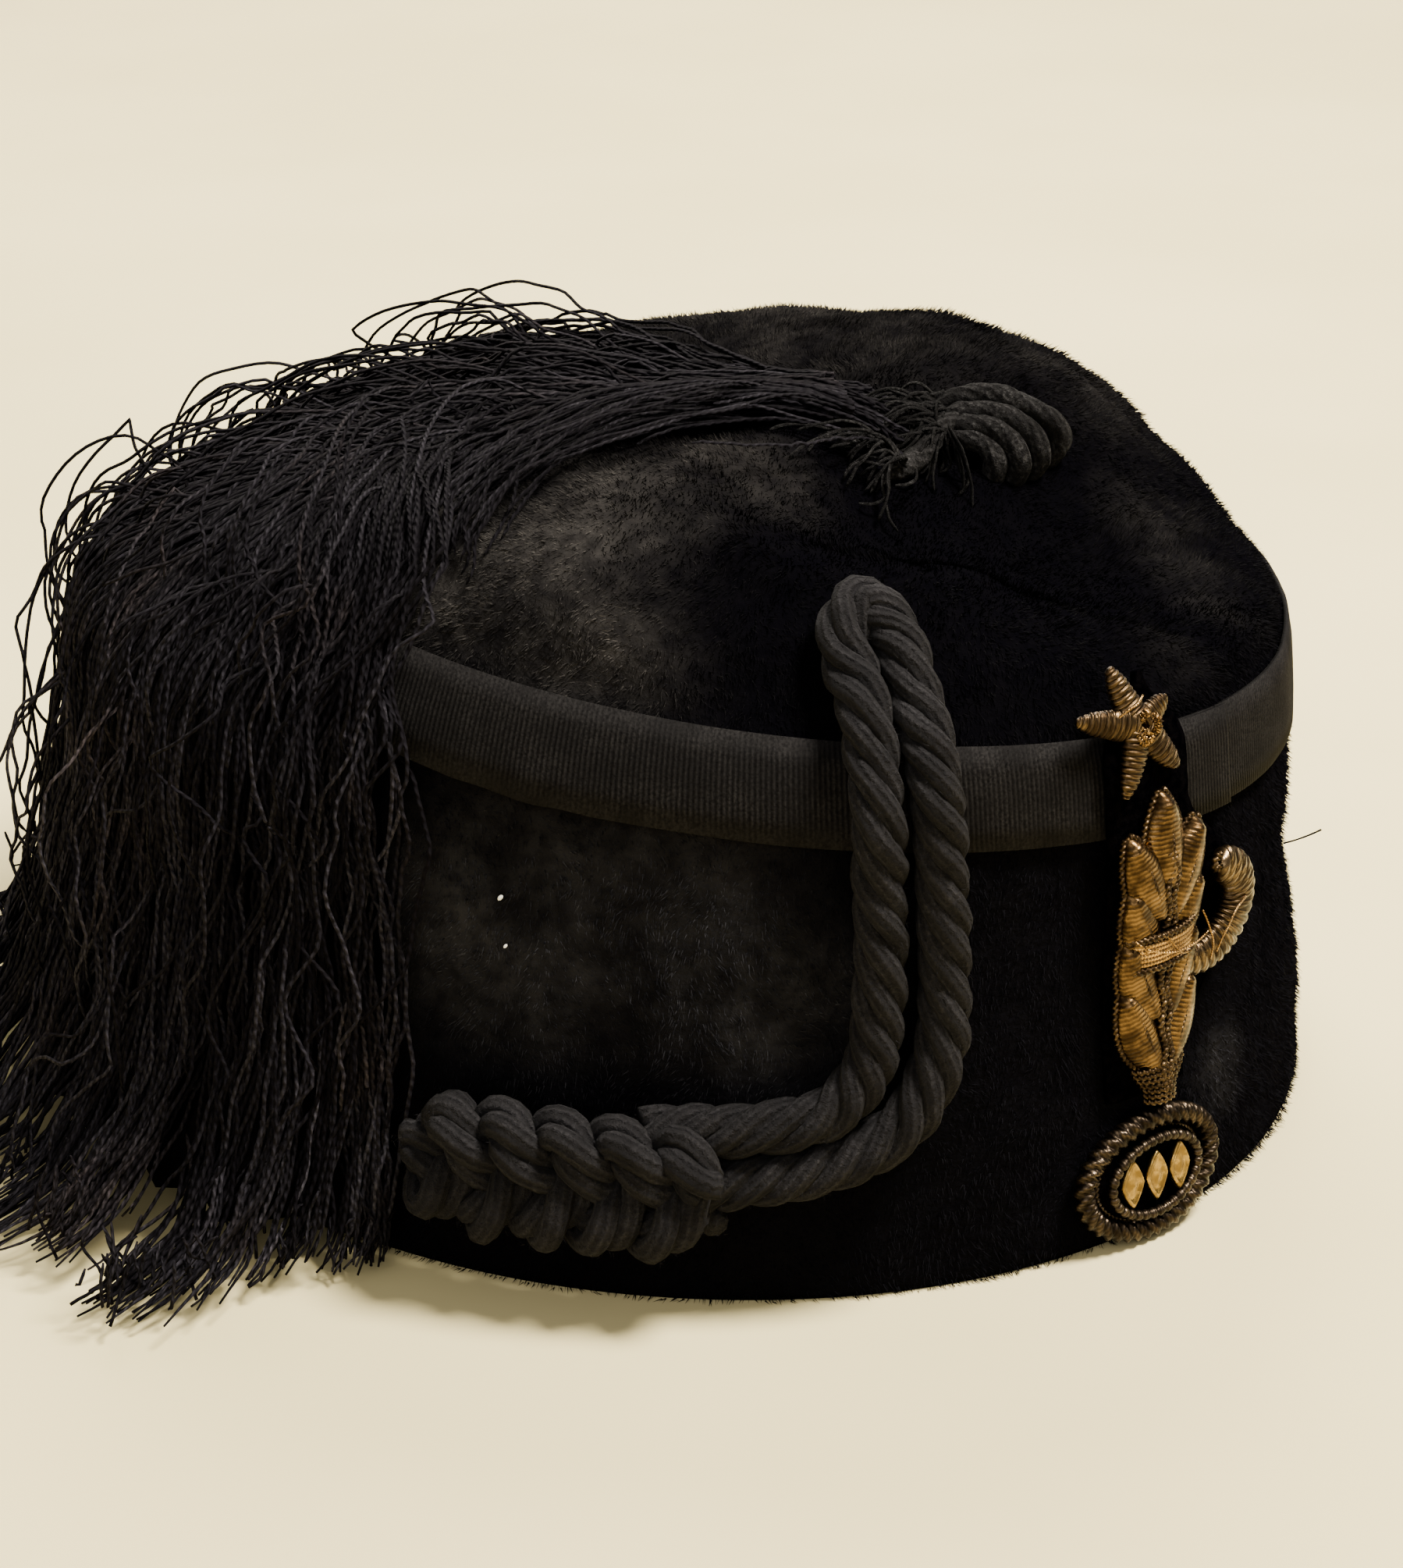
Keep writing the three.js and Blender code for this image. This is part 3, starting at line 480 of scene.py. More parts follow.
def off_front(x, z, lift):
    x, z, lift = np.broadcast_arrays(*(np.asarray(v, float) for v in (x, z, lift)))
    height = np.minimum(z, STIFF_ABOVE)
    angle = np.full(x.shape, -math.pi / 2)
    for _ in range(6):
        spread = section_at(share_at_height(angle, height))[..., 1]
        angle = -np.arccos(np.clip(x / (HALF_WIDTH * spread), -1, 1))
    p = off_cap(angle, share_at_height(angle, height), lift)
    p[..., 2] += z - height
    p[..., 1] += STIFF_SLOPE * (z - height)
    return p


def outward(p):
    """Direction away from the hat's axis."""
    up = np.maximum(0, p[..., 2] - 84) / 60
    return unit(np.stack([p[..., 0] / HALF_WIDTH, p[..., 1] / HALF_LENGTH, up], axis=-1))


def outward_top(p):
    return unit(p + np.array([0, 0, 30.0]))


# Meshes

class Shape:
    """Points, quads and triangles, with a shade for each point and a UV in millimetres and turns."""

    def __init__(self):
        self.points = []
        self.shades = []
        self.quads = []
        self.quad_uvs = []
        self.triangles = []
        self.count = 0

    def add(self, points, quads=None, uvs=None, triangles=None, shade=0.5):
        points = np.asarray(points, float).reshape(-1, 3)
        self.points.append(points)
        self.shades.append(np.broadcast_to(np.asarray(shade, float), (len(points),)).copy())
        if quads is not None:
            self.quads.append(np.asarray(quads, int) + self.count)
            self.quad_uvs.append(np.zeros((len(quads), 4, 2)) if uvs is None else uvs)
        if triangles is not None:
            self.triangles.append(np.asarray(triangles, int).reshape(-1, 3) + self.count)
        self.count += len(points)

    def loft(self, rings, closed=False, shade=0.5):
        """Skins rows of equal rings: rings is rows, sides, 3 or many, rows, sides, 3."""
        rings = rings if rings.ndim == 4 else rings[None]
        many, rows, sides = rings.shape[:3]
        kept = rows if closed else rows - 1
        index = np.arange(many * rows * sides).reshape(many, rows, sides)
        beside = np.roll(index, -1, axis=2)
        corners = (index, beside, np.roll(beside, -1, axis=1), np.roll(index, -1, axis=1))
        quads = np.stack([corner[:, :kept] for corner in corners], axis=-1).reshape(-1, 4)
        run = run_along(rings.mean(axis=2))
        run = np.concatenate([run, run[:, -1:] + run[:, 1:2]], axis=1)[..., None]
        start, stop, v = np.broadcast_arrays(run[:, :kept], run[:, 1:kept + 1], np.arange(sides) / sides)
        w = v + 1 / sides
        uvs = np.stack([start, v, start, w, stop, w, stop, v], axis=-1).reshape(-1, 4, 2)
        triangles = []
        if not closed:
            fan = np.arange(1, sides - 1)
            for end, a, b in ((index[:, 0], fan + 1, fan), (index[:, -1], fan, fan + 1)):
                triangles.append(np.stack([end[:, :1] + 0 * fan, end[:, a], end[:, b]], -1).reshape(-1, 3))
        shade = np.asarray(shade, float)
        shade = np.broadcast_to(shade.reshape(shade.shape + (1,) * (3 - shade.ndim)), rings.shape[:3])
        self.add(rings, quads, uvs, np.concatenate(triangles) if triangles else None, shade.ravel())

    def sweep(self, path, out, radius, sides, turn=0.0, flat=1.0, lobes=1.0, closed=False, shade=0.5):
        """Tube along a path, or many; radius, turn and flat may change along it, lobes also round it."""
        path = path if path.ndim == 3 else path[None]
        out = out if out.ndim == 3 else out[None]
        out, side = square_to(path, out, closed)
        shape = path.shape[:2]
        a = TAU * np.arange(sides) / sides + np.broadcast_to(turn, shape)[..., None]
        r = np.broadcast_to(radius, shape)[..., None] * lobes
        f = np.broadcast_to(flat, shape)[..., None]
        rings = path[:, :, None] + (r * np.cos(a))[..., None] * side[:, :, None]
        rings = rings + (f * r * np.sin(a))[..., None] * out[:, :, None]
        self.loft(rings, closed, shade)


def square_to(path, out, closed=False):
    """Directions out and sideways at each point of paths, square to them."""
    if closed:
        ahead = np.roll(path, -1, axis=-2) - np.roll(path, 1, axis=-2)
    else:
        ahead = np.gradient(path, axis=-2)
    ahead = unit(ahead)
    out = unit(out - ahead * (out * ahead).sum(-1, keepdims=True))
    return out, np.cross(out, ahead)


def run_along(path):
    """Distance along paths at each of their points."""
    steps = np.linalg.norm(np.diff(path, axis=-2), axis=-1)
    return np.concatenate([np.zeros(path.shape[:-2] + (1,)), np.cumsum(steps, axis=-1)], axis=-1)


def at_stops(path, stops):
    """Points of a path at distances along it."""
    run = run_along(path)
    return np.stack([np.interp(stops, run, path[:, k]) for k in range(3)], axis=-1)


def evenly(path, step):
    """The same path with its points about a step apart."""
    length = run_along(path)[-1]
    return at_stops(path, np.linspace(0, length, max(3, int(round(length / step)) + 1)))


def smooth_path(points, step):
    """Even points on a smooth curve through the given ones."""
    rows = np.linspace(0, len(points) - 1, 40 * len(points))
    return evenly(through(np.asarray(points, float), rows), step)


def new_piece(name, shape, material, replaces=()):
    """Makes the object of a shape, on the one body, in metres, in place of the CAD nodes it replaces."""
    points = (np.concatenate(shape.points) + AXIS) * MM
    quads = np.concatenate(shape.quads) if shape.quads else np.zeros((0, 4), int)
    triangles = np.concatenate(shape.triangles) if shape.triangles else np.zeros((0, 3), int)
    corners = np.concatenate([quads.ravel(), triangles.ravel()])
    starts = np.concatenate([np.arange(len(quads)) * 4, len(quads) * 4 + np.arange(len(triangles)) * 3])
    mesh = bpy.data.meshes.new(name)
    mesh.vertices.add(len(points))
    mesh.vertices.foreach_set("co", points.astype(np.float32).ravel())
    mesh.loops.add(len(corners))
    mesh.loops.foreach_set("vertex_index", corners.astype(np.int32))
    mesh.polygons.add(len(starts))
    mesh.polygons.foreach_set("loop_start", starts.astype(np.int32))
    mesh.update(calc_edges=True)
    uv = np.zeros((len(corners), 2))
    if shape.quad_uvs:
        uv[:len(quads) * 4] = np.concatenate(shape.quad_uvs).reshape(-1, 2)
    mesh.uv_layers.new(name="run").data.foreach_set("uv", uv.astype(np.float32).ravel())
    shade = mesh.attributes.new("shade", "FLOAT", "POINT")
    shade.data.foreach_set("value", np.concatenate(shape.shades).astype(np.float32))
    mesh.validate()
    mesh.polygons.foreach_set("use_smooth", np.full(len(mesh.polygons), True))
    mesh.materials.append(material)
    piece = bpy.data.objects.new(name, mesh)
    bpy.context.scene.collection.objects.link(piece)
    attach(piece, "root")
    if replaces:
        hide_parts(*replaces)


def blades(points, shade):
    """One flat triangle for each hair."""
    shape = Shape()
    shape.add(points, triangles=np.arange(len(points) * 3), shade=shade)
    return shape


# Materials

class Surface:
    """A node-based material with a few ready steps."""

    def __init__(self, name, roughness, metallic=0.0, specular=0.5, sheen=0.0, sheen_roughness=0.5,
                 sheen_tint=(1, 1, 1)):
        self.material = bpy.data.materials.new(name)
        self.material.use_nodes = True
        self.nodes = self.material.node_tree.nodes
        self.links = self.material.node_tree.links
        self.shader = self.nodes["Principled BSDF"]
        values = {"Roughness": roughness, "Metallic": metallic, "Specular IOR Level": specular,
                  "Sheen Weight": sheen, "Sheen Roughness": sheen_roughness, "Sheen Tint": (*sheen_tint, 1)}
        for key, value in values.items():
            self.shader.inputs[key].default_value = value
        self.place = self.node("ShaderNodeTexCoord").outputs["Object"]

    def node(self, kind, **settings):
        node = self.nodes.new(kind)
        for key, value in settings.items():
            setattr(node, key, value)
        return node

    def join(self, source, target):
        self.links.new(source, target)

    def maths(self, operation, a, b=0.0, c=0.0):
        node = self.node("ShaderNodeMath", operation=operation)
        for socket, value in zip(node.inputs, (a, b, c)):
            if isinstance(value, (int, float)):
                socket.default_value = value
            else:
                self.join(value, socket)
        return node.outputs[0]

    def scaled(self, value, by, plus):
        return self.maths("MULTIPLY_ADD", value, by, plus)

    def part(self, vector, axis):
        split = self.node("ShaderNodeSeparateXYZ")
        self.join(vector, split.inputs[0])
        return split.outputs[axis]

    def noise(self, size, detail=3.0, roughness=0.55):
        """Noise in space with lumps about size millimetres across."""
        node = self.node("ShaderNodeTexNoise")
        node.inputs["Scale"].default_value = 1 / (size * MM)
        node.inputs["Detail"].default_value = detail
        node.inputs["Roughness"].default_value = roughness
        self.join(self.place, node.inputs["Vector"])
        return node.outputs["Fac"]

    def spread(self, value, low, high):
        """Stretches a value so that low becomes 0 and high becomes 1."""
        node = self.node("ShaderNodeMapRange", interpolation_type="SMOOTHSTEP")
        node.inputs["From Min"].default_value = low
        node.inputs["From Max"].default_value = high
        self.join(value, node.inputs["Value"])
        return node.outputs["Result"]

    def patches(self, size, detail, low, high, roughness=0.55):
        return self.spread(self.noise(size, detail, roughness), low, high)

    def height(self, low, high):
        """0 below a height and 1 over another, in millimetres."""
        return self.spread(self.part(self.place, "Z"), low * MM, high * MM)

    def shade(self):
        return self.node("ShaderNodeAttribute", attribute_name="shade").outputs["Fac"]

    def stripes(self, pitch, turns):
        """Stripes that wind round a thread or wire, from 0 in the groove to 1 on the ridge."""
        uv = self.node("ShaderNodeUVMap", uv_map="run").outputs["UV"]
        along = self.maths("MULTIPLY", self.part(uv, "X"), TAU / pitch)
        wave = self.maths("SINE", self.scaled(self.part(uv, "Y"), TAU * turns, along))
        return self.scaled(wave, 0.5, 0.5)

    def blend(self, factor, dark, light):
        node = self.node("ShaderNodeMix", data_type="RGBA")
        self.join(factor, node.inputs["Factor"])
        for socket, value in ((node.inputs[6], dark), (node.inputs[7], light)):
            if isinstance(value, tuple):
                socket.default_value = (*value, 1)
            else:
                self.join(value, socket)
        return node.outputs[2]

    def colour(self, value):
        self.join(value, self.shader.inputs["Base Color"])

    def rough(self, value, low, high):
        node = self.node("ShaderNodeMapRange")
        node.inputs["To Min"].default_value = low
        node.inputs["To Max"].default_value = high
        self.join(value, node.inputs["Value"])
        self.join(node.outputs["Result"], self.shader.inputs["Roughness"])

    def relief(self, height, depth):
        """Bump of a depth in millimetres; a second call goes on top of the first."""
        node = self.node("ShaderNodeBump")
        node.inputs["Strength"].default_value = 1.0
        node.inputs["Distance"].default_value = depth * MM
        self.join(height, node.inputs["Height"])
        under = self.shader.inputs["Normal"]
        if under.is_linked:
            self.join(under.links[0].from_socket, node.inputs["Normal"])
        self.join(node.outputs["Normal"], under)


def plush_cloth():
    s = Surface("plush", 0.95, specular=0.0)
    # The shade of each point carries the painted sheen and painted shadow of the nap
    lay = s.maths("MULTIPLY", s.shade(), s.scaled(s.patches(3.2, 4.0, 0.3, 0.7), 0.6, 0.4))
    over = s.height(*PLUSH_CHANGES)
    s.colour(s.blend(lay, s.blend(over, *PLUSH_DARK), s.blend(over, *PLUSH_SHEEN_PAINT)))
    s.relief(s.noise(1.1, 4.0), 0.5)
    return s.material


def plush_nap():
    s = Surface("plush_nap", 0.75, specular=0.01)
    # The shade of each hair carries the painted sheen and painted shadow of the nap
    lit = s.maths("MULTIPLY", s.shade(), s.scaled(s.patches(3.2, 4.0, 0.3, 0.7), 0.5, 0.5))
    over = s.height(*PLUSH_CHANGES)
    dark = s.blend(over, *NAP_DARK)
    tone = s.blend(lit, dark, s.blend(over, *NAP_SHEEN_PAINT))
    s.colour(s.blend(s.patches(0.5, 2.0, 0.25, 0.6), dark, tone))
    return s.material


def grosgrain_cloth():
    s = Surface("grosgrain", 0.7, specular=0.02, sheen=0.005, sheen_roughness=0.4, sheen_tint=WARM_SHEEN)
    tone = s.blend(s.patches(7.0, 4.0, 0.35, 0.7), (0.0072, 0.0067, 0.0069), (0.0129, 0.0121, 0.0123))
    tone = s.blend(s.patches(0.4, 3.0, 0.3, 0.7), (0.0038, 0.0035, 0.0037), tone)
    # The shade of each point paints shade into the rib grooves and on the back
    s.colour(s.blend(s.shade(), (0.0004, 0.0003, 0.0004), tone))
    s.relief(s.noise(0.25, 2.0), 0.08)
    return s.material


def darker(colour, share):
    return tuple(share * c for c in colour)


def yarn_cloth(name, dark, light, pitch, turns, depth):
    s = Surface(name, 0.9, specular=0.03, sheen=0.01, sheen_roughness=0.4, sheen_tint=WARM_SHEEN)
    groove = s.stripes(pitch, turns)
    tone = s.blend(s.patches(0.7, 3.0, 0.4, 0.72, 0.75), dark, light)
    tone = s.blend(s.patches(6.0, 3.0, 0.3, 0.7), darker(dark, 0.8), tone)
    # Painted shade in the grooves of the twist
    s.colour(s.blend(s.scaled(groove, 0.55, 0.45), darker(dark, 0.35), tone))
    s.relief(s.noise(0.9, 4.0, 0.7), 1.0)
    s.relief(groove, depth)
    return s.material


def thread_cloth():
    s = Surface("tassel_thread", 0.8, specular=0.015, sheen=0.003, sheen_roughness=0.35,
                sheen_tint=(1.0, 0.98, 1.0))
    groove = s.stripes(THREAD_TWIST, 1.0)
    tone = s.blend(s.patches(22.0, 2.0, 0.5, 0.75), (0.043, 0.04, 0.05), (0.062, 0.05, 0.051))
    # The shade of each thread gives its lit tone, with painted shade on the top of the cap
    lit = s.maths("MULTIPLY", s.shade(), s.scaled(s.patches(0.9, 3.0, 0.35, 0.65, 0.7), 0.7, 0.3))
    tone = s.blend(lit, (0.0029, 0.0025, 0.0034), tone)
    # Painted shade in the grooves of the twist
    s.colour(s.blend(s.scaled(groove, 0.55, 0.45), (0.0014, 0.0012, 0.0017), tone))
    s.relief(groove, 0.2)
    return s.material


def plain_cloth(name, roughness, specular, factor, dark, light):
    """Matte cloth of two tones; factor makes the patches."""
    s = Surface(name, roughness, specular=specular)
    s.colour(s.blend(factor(s), dark, light))
    return s


def deep_cloth():
    # Near-black cloth: painted shade for the depth of the tassel, and the own colour of the stray hair
    s = plain_cloth("tassel_depth", 0.95, 0.0, lambda s: s.noise(2.0, 3.0), (0.0012, 0.001, 0.0014),
                    (0.0027, 0.0023, 0.0026))
    s.relief(s.noise(1.5, 3.0), 0.8)
    return s.material


def backing_cloth():
    s = plain_cloth("backing_cloth", 0.95, 0.0, lambda s: s.patches(1.2, 4.0, 0.35, 0.7),
                    (0.0002, 0.00018, 0.0004), (0.0011, 0.0009, 0.0011))
    s.relief(s.noise(0.5, 4.0), 0.3)
    return s.material


def lint_fluff():
    s = plain_cloth("lint", 0.9, 0.5, lambda s: s.noise(0.6, 2.0), (0.5, 0.49, 0.46), (0.85, 0.84, 0.8))
    return s.material


def metal_thread(name, dark, light, roughness, pitch, turns, depth):
    """Gold wire: tarnish in patches, painted shade in the grooves, fine turns of wire as relief."""
    s = Surface(name, roughness, metallic=1.0)
    tarnish = s.patches(3.0, 4.0, 0.35, 0.68, 0.6)
    groove = s.stripes(pitch, turns)
    tone = s.blend(s.spread(s.shade(), 0.0, 1.0), darker(dark, 0.25), s.blend(tarnish, dark, light))
    s.colour(s.blend(s.scaled(groove, 0.6, 0.4), darker(dark, 0.3), tone))
    s.rough(tarnish, roughness + 0.14, roughness - 0.06)
    s.relief(groove, depth)
    s.relief(s.noise(0.7, 3.0), 0.05)
    return s.material


def gilt_metal():
    s = Surface("gilt_metal", 0.24, metallic=1.0)
    wear = s.patches(1.6, 4.0, 0.4, 0.7)
    s.colour(s.blend(wear, (0.16, 0.098, 0.028), (0.36, 0.24, 0.08)))
    s.rough(wear, 0.36, 0.2)
    s.relief(s.noise(0.9, 3.0), 0.05)
    return s.material


# Crown

def felt_point(angle, share):
    """Plush surface: the cap with its small folds and soft lumps."""
    p = cap_point(angle, share)
    normal = cap_normal(angle, share)
    rise = np.zeros(p.shape[:-1])
    for *ends, half_width, height in FOLDS:
        a, b = np.reshape(ends, (2, 3)).astype(float)
        ahead = b - a
        t = np.clip(((p - a) @ ahead) / (ahead @ ahead), 0, 1)
        gap = np.linalg.norm(p - a - t[..., None] * ahead, axis=-1)
        rise += height * np.exp(-(gap / half_width) ** 2) * arch(np.clip(t, 0.12, 0.88))
    soft = ramp(p[..., 2], 70, 90)
    rise += (0.45 + 0.5 * soft) * grain(p, 11, 1) + 0.32 * grain(p, 5, 2) + 0.16 * grain(p, 2.6, 3)
    held = ramp(p[..., 2], 0, 3)
    return p + normal * (rise * held)[..., None]


def painted_nap_light(p):
    """Painted light on the nap at points, from 0 to 1: painted sheen in patches and painted shadow where it
    stays black.
    """
    light = np.zeros(p.shape[:-1])
    for *centre, reach, strength in NAP_SHEEN_PATCHES:
        light = np.maximum(light, strength * bump(np.linalg.norm(p - centre, axis=-1), reach * 1.25))
    for *centre, reach, strength in NAP_SHADOWS:
        light = light * (1 - strength * bump(np.linalg.norm(p - centre, axis=-1), reach * 1.25))
    ragged = 0.8 + 0.5 * grain(p, 9, 5) + 0.35 * grain(p, 4, 6)
    return np.clip(0.035 + light * ragged, 0, 1)


def crown_felt():
    columns, rows, inner_rows = 284, 100, 16
    angles = np.linspace(0, TAU, columns, endpoint=False)
    outer_shares = np.linspace(0.0, 0.995, rows)
    inner_shares = np.linspace(0.995, 0.0, inner_rows)
    outer = felt_point(angles[None], outer_shares[:, None])
    outer[0] = off_cap(angles, 0.0, -0.8)
    outer[0, :, 2] = 0
    outer[1, :, 2] = np.maximum(outer[1, :, 2], 0.4)
    inner = off_cap(angles[None], inner_shares[:, None], -WALL)
    inner[:, :, 2] = np.maximum(inner[:, :, 2], 0)
    shape = Shape()
    sides = np.arange(columns)
    beside = np.roll(sides, -1)
    for skin, top in ((outer, -1), (inner, 0)):
        index = np.arange(len(skin) * columns).reshape(-1, columns)
        quads = np.stack([index[:-1], index[:-1, beside], index[1:, beside], index[1:]], -1)
        points = np.concatenate([skin.reshape(-1, 3), skin[top].mean(0)[None]])
        ring = index[top]
        edge = (ring, ring[beside]) if skin is outer else (ring[beside], ring)
        pole = np.full(columns, len(points) - 1)
        shape.add(points, quads.reshape(-1, 4), None, np.stack([*edge, pole], -1), painted_nap_light(points))
    last_inner = len(shape.points[0]) + (inner_rows - 1) * columns + sides
    shape.quads.append(np.stack([last_inner, last_inner[beside], beside, sides], -1))
    shape.quad_uvs.append(np.zeros((columns, 4, 2)))
    return shape


def nap(count, low, high, seed):
    """Short plush hairs between two shares of the way up, one flat blade each."""
    rng = np.random.default_rng(seed)
    stops = np.linspace(low, high, 60)
    around = cap_point(np.linspace(0, TAU, 24)[None], stops[:, None])
    size = np.linalg.norm(np.diff(around, axis=1), axis=-1).sum(1)
    climb = np.linalg.norm(np.gradient(around, axis=0), axis=-1).mean(1)
    total = np.cumsum(size * climb)
    share = np.interp(rng.uniform(total[0], total[-1], count), total, stops)
    angle = rng.uniform(0, TAU, count)
    base = felt_point(angle, share)
    normal = cap_normal(angle, share)
    down = unit(cap_point(angle, share - 0.004) - cap_point(angle, share + 0.004))
    beside = np.cross(normal, down)
    swirl = 1.3 * grain(base, 13, 8) + 1.1 * grain(base, 4.2, 9)
    lay = down * np.cos(swirl)[:, None] + beside * np.sin(swirl)[:, None]
    stand = 0.75 + 0.55 * grain(base, 3.4, 10)
    ahead = unit(normal * stand[:, None] + lay * 0.8 + rng.normal(0, 0.22, (count, 3)))
    length = rng.uniform(0.8, 1.7, count) * (1 + 0.35 * grain(base, 6, 11))
    across = unit(np.cross(ahead, rng.normal(0, 1, (count, 3)) + normal * 1.2)) * NAP_HALF_WIDTH
    sunk = base - normal * 0.15
    tip = sunk + ahead * length[:, None]
    points = np.stack([sunk - across, sunk + across, tip], axis=1)
    points[..., 2] = np.maximum(points[..., 2], 0.05)
    return blades(points, np.repeat(painted_nap_light(base) * rng.uniform(0.4, 1.0, count), 3))


def make_crown():
    new_piece("crown_felt", crown_felt(), plush_cloth(), ["crown"])
    hairs = plush_nap()
    new_piece("nap_side", nap(NAP_HAIRS, *NAP_SIDE, 21), hairs)
    new_piece("nap_top", nap(NAP_HAIRS, *NAP_TOP, 22), hairs)


# Ribbon

def ribbon_foot(angle):
    x = RIBBON_SPREAD * HALF_WIDTH * np.cos(angle)
    y = RIBBON_SPREAD * HALF_LENGTH * np.sin(angle)
    return RIBBON_HEIGHT + RIBBON_SLOPE[0] * x + RIBBON_SLOPE[1] * y


def ribbon_shares(angle, parts):
    """Shares of the way up across the ribbon, at even parts of its width along the felt."""
    foot = share_at_height(angle, ribbon_foot(angle))
    climb = 0.002
    steps = 150
    shares = foot[..., None] + climb * np.arange(steps)
    points = cap_point(angle[..., None], shares)
    run = run_along(points)
    wanted = RIBBON_WIDTH * np.linspace(0, 1, parts)
    return np.stack([np.interp(wanted, r, s) for r, s in zip(run, shares)])


def ribbon():
    across = 5
    coarse = np.radians(np.linspace(RIBBON_START, RIBBON_END, 220))
    coarse_shares = ribbon_shares(coarse, across)
    length = run_along(off_cap(coarse, coarse_shares[:, across // 2], RIBBON_SEAT))[-1]
    fine = np.linspace(coarse[0], coarse[-1], int(length / RIB_PITCH * 4))
    shares = np.stack([np.interp(fine, coarse, coarse_shares[:, k]) for k in range(across)], -1)
    degrees = np.degrees(fine)
    lapped = RIBBON_LAP * ramp(degrees, *RIBBON_LAP_CLIMB)
    run = np.linspace(0, length, len(fine))
    rib = 0.5 + 0.5 * np.cos(TAU * run / RIB_PITCH)
    worn = 0.8 + 0.2 * waves(run, 60, 2)
    middle = off_cap(fine[:, None], shares, (RIBBON_SEAT + lapped)[:, None])
    normal = cap_normal(fine[:, None] + 0 * shares, shares)
    t = np.linspace(0, 1, across)
    selvedge = np.where((t < 0.05) | (t > 0.95), 0.3, 1.0)
    ripple = 0.22 * grain(middle, 16, 12) + 0.08 * grain(middle, 5, 13)
    pucker = bump(degrees - RIBBON_PUCKER[0], RIBBON_PUCKER[1])[:, None] * (1 - ramp(t, 0.0, 0.3))[None]
    ripple += pucker * (0.5 + 0.6 * waves(run, 5.0, 4)[:, None])
    lift = RIBBON_THICKNESS * 0.8 + ripple + (RIB_RELIEF * worn * rib)[:, None] * selvedge
    down = unit(middle[:, :1] - middle[:, -1:])
    sag = pucker[..., None] * down * (0.5 + 0.5 * waves(run, 4.0, 5))[:, None, None]
    outer = middle + normal * lift[..., None] + sag
    inner = middle[:, ::2] + normal[:, ::2] * np.minimum(0, ripple[:, ::2, None])
    rings = np.concatenate([outer, inner[:, ::-1]], axis=1)
    # Painted shade in the grooves between the ribs and on the back; the ridges full tone, the selvedges a
    # steady lighter tone
    outer_shade = (0.25 + 0.75 * rib)[:, None] * np.ones(across)
    outer_shade[:, [0, -1]] = 0.8
    shade = np.concatenate([outer_shade, np.zeros((len(fine), 3))], axis=1)
    shape = Shape()
    shape.loft(rings[:, ::-1], shade=shade[None, :, ::-1])
    return shape


def make_ribbon():
    new_piece("ribbon_weave", ribbon(), grosgrain_cloth(), ["ribbon_band"])


# Side cord

def cord_lift(angle, up):
    shares = ribbon_shares(angle, 2)
    on = ramp(up, shares[:, 0] - 0.03, shares[:, 0]) * (1 - ramp(up, shares[:, 1], shares[:, 1] + 0.05))
    return CORD_RADIUS + CORD_SEAT + on * (RIBBON_SEAT + RIBBON_THICKNESS + 0.3)


def strand(shape, path, radius, plies, pitch, away, seed):
    """One strand: plies wound round a path, each with ridges of yarn."""
    path = evenly(path, 1.0)
    out, side = square_to(path[None], away(path)[None])
    run = run_along(path)
    inner = radius * (0.56 if plies == 4 else 0.5)
    for k in range(plies):
        drift = 0.55 * waves(run, 14, seed + 4) + 0.15 * waves(run, 6, seed + 3 * k)
        turn = TAU * k / plies - TAU * run / pitch + drift
        wobble = 1 + 0.1 * waves(run, 6, seed + k)
        spin = np.cos(turn)[:, None] * side[0] + np.sin(turn)[:, None] * out[0]
        centre = path + spin * (inner * wobble)[:, None]
        sides = YARNS * 2
        a = TAU * np.arange(sides) / sides
        lobes = 1 + 0.03 * np.cos(YARNS * a)[None] + 0.1 * yarn_grain(run, a, 1.5, 2.2, 9 * k + seed)
        shape.sweep(centre, spin, (radius - inner) * 1.05 * (1 + 0.08 * waves(run, 5, seed + 9 + k)), sides,
                    turn=TAU * run / 34.0, lobes=lobes[None], shade=0.5)


def yarn_grain(run, a, pitch, around, seed):
    """Roughness along a cord and round it."""
    across, out = around * np.cos(a)[None], around * np.sin(a)[None]
    return grain(np.stack(np.broadcast_arrays(run[:, None] / pitch, across, out + seed), -1), 1.0)


def cord_path():
    angle = np.radians(CORD_ROUTE[:, 0])
    up = CORD_ROUTE[:, 1]
    return smooth_path(off_cap(angle, up, cord_lift(angle, up)), 0.8)


def plait_path(k):
    """One of the three strands of the plait, over and under along the low end of the cord."""
    t = np.linspace(0, 1, 90)
    phase = TAU * (PLAIT_TURNS * t + k / 3) + 0.5
    neck = 0.5 + 0.5 * ramp(t, 0, 0.12)
    heel = 1 - 0.6 * ramp(t, 0.86, 1.0)
    across = PLAIT_ACROSS * np.sin(phase) * neck * heel
    out = PLAIT_OUT * np.sin(2 * phase) * heel
    degrees = PLAIT_TO + (PLAIT_FROM - PLAIT_TO) * t[::-1]
    lift = PLAIT_RADIUS + CORD_SEAT + 2.4 + out - 2.0 * ramp(t, 0.9, 1.0)
    return off_side(degrees, PLAIT_HEIGHT + across, lift)


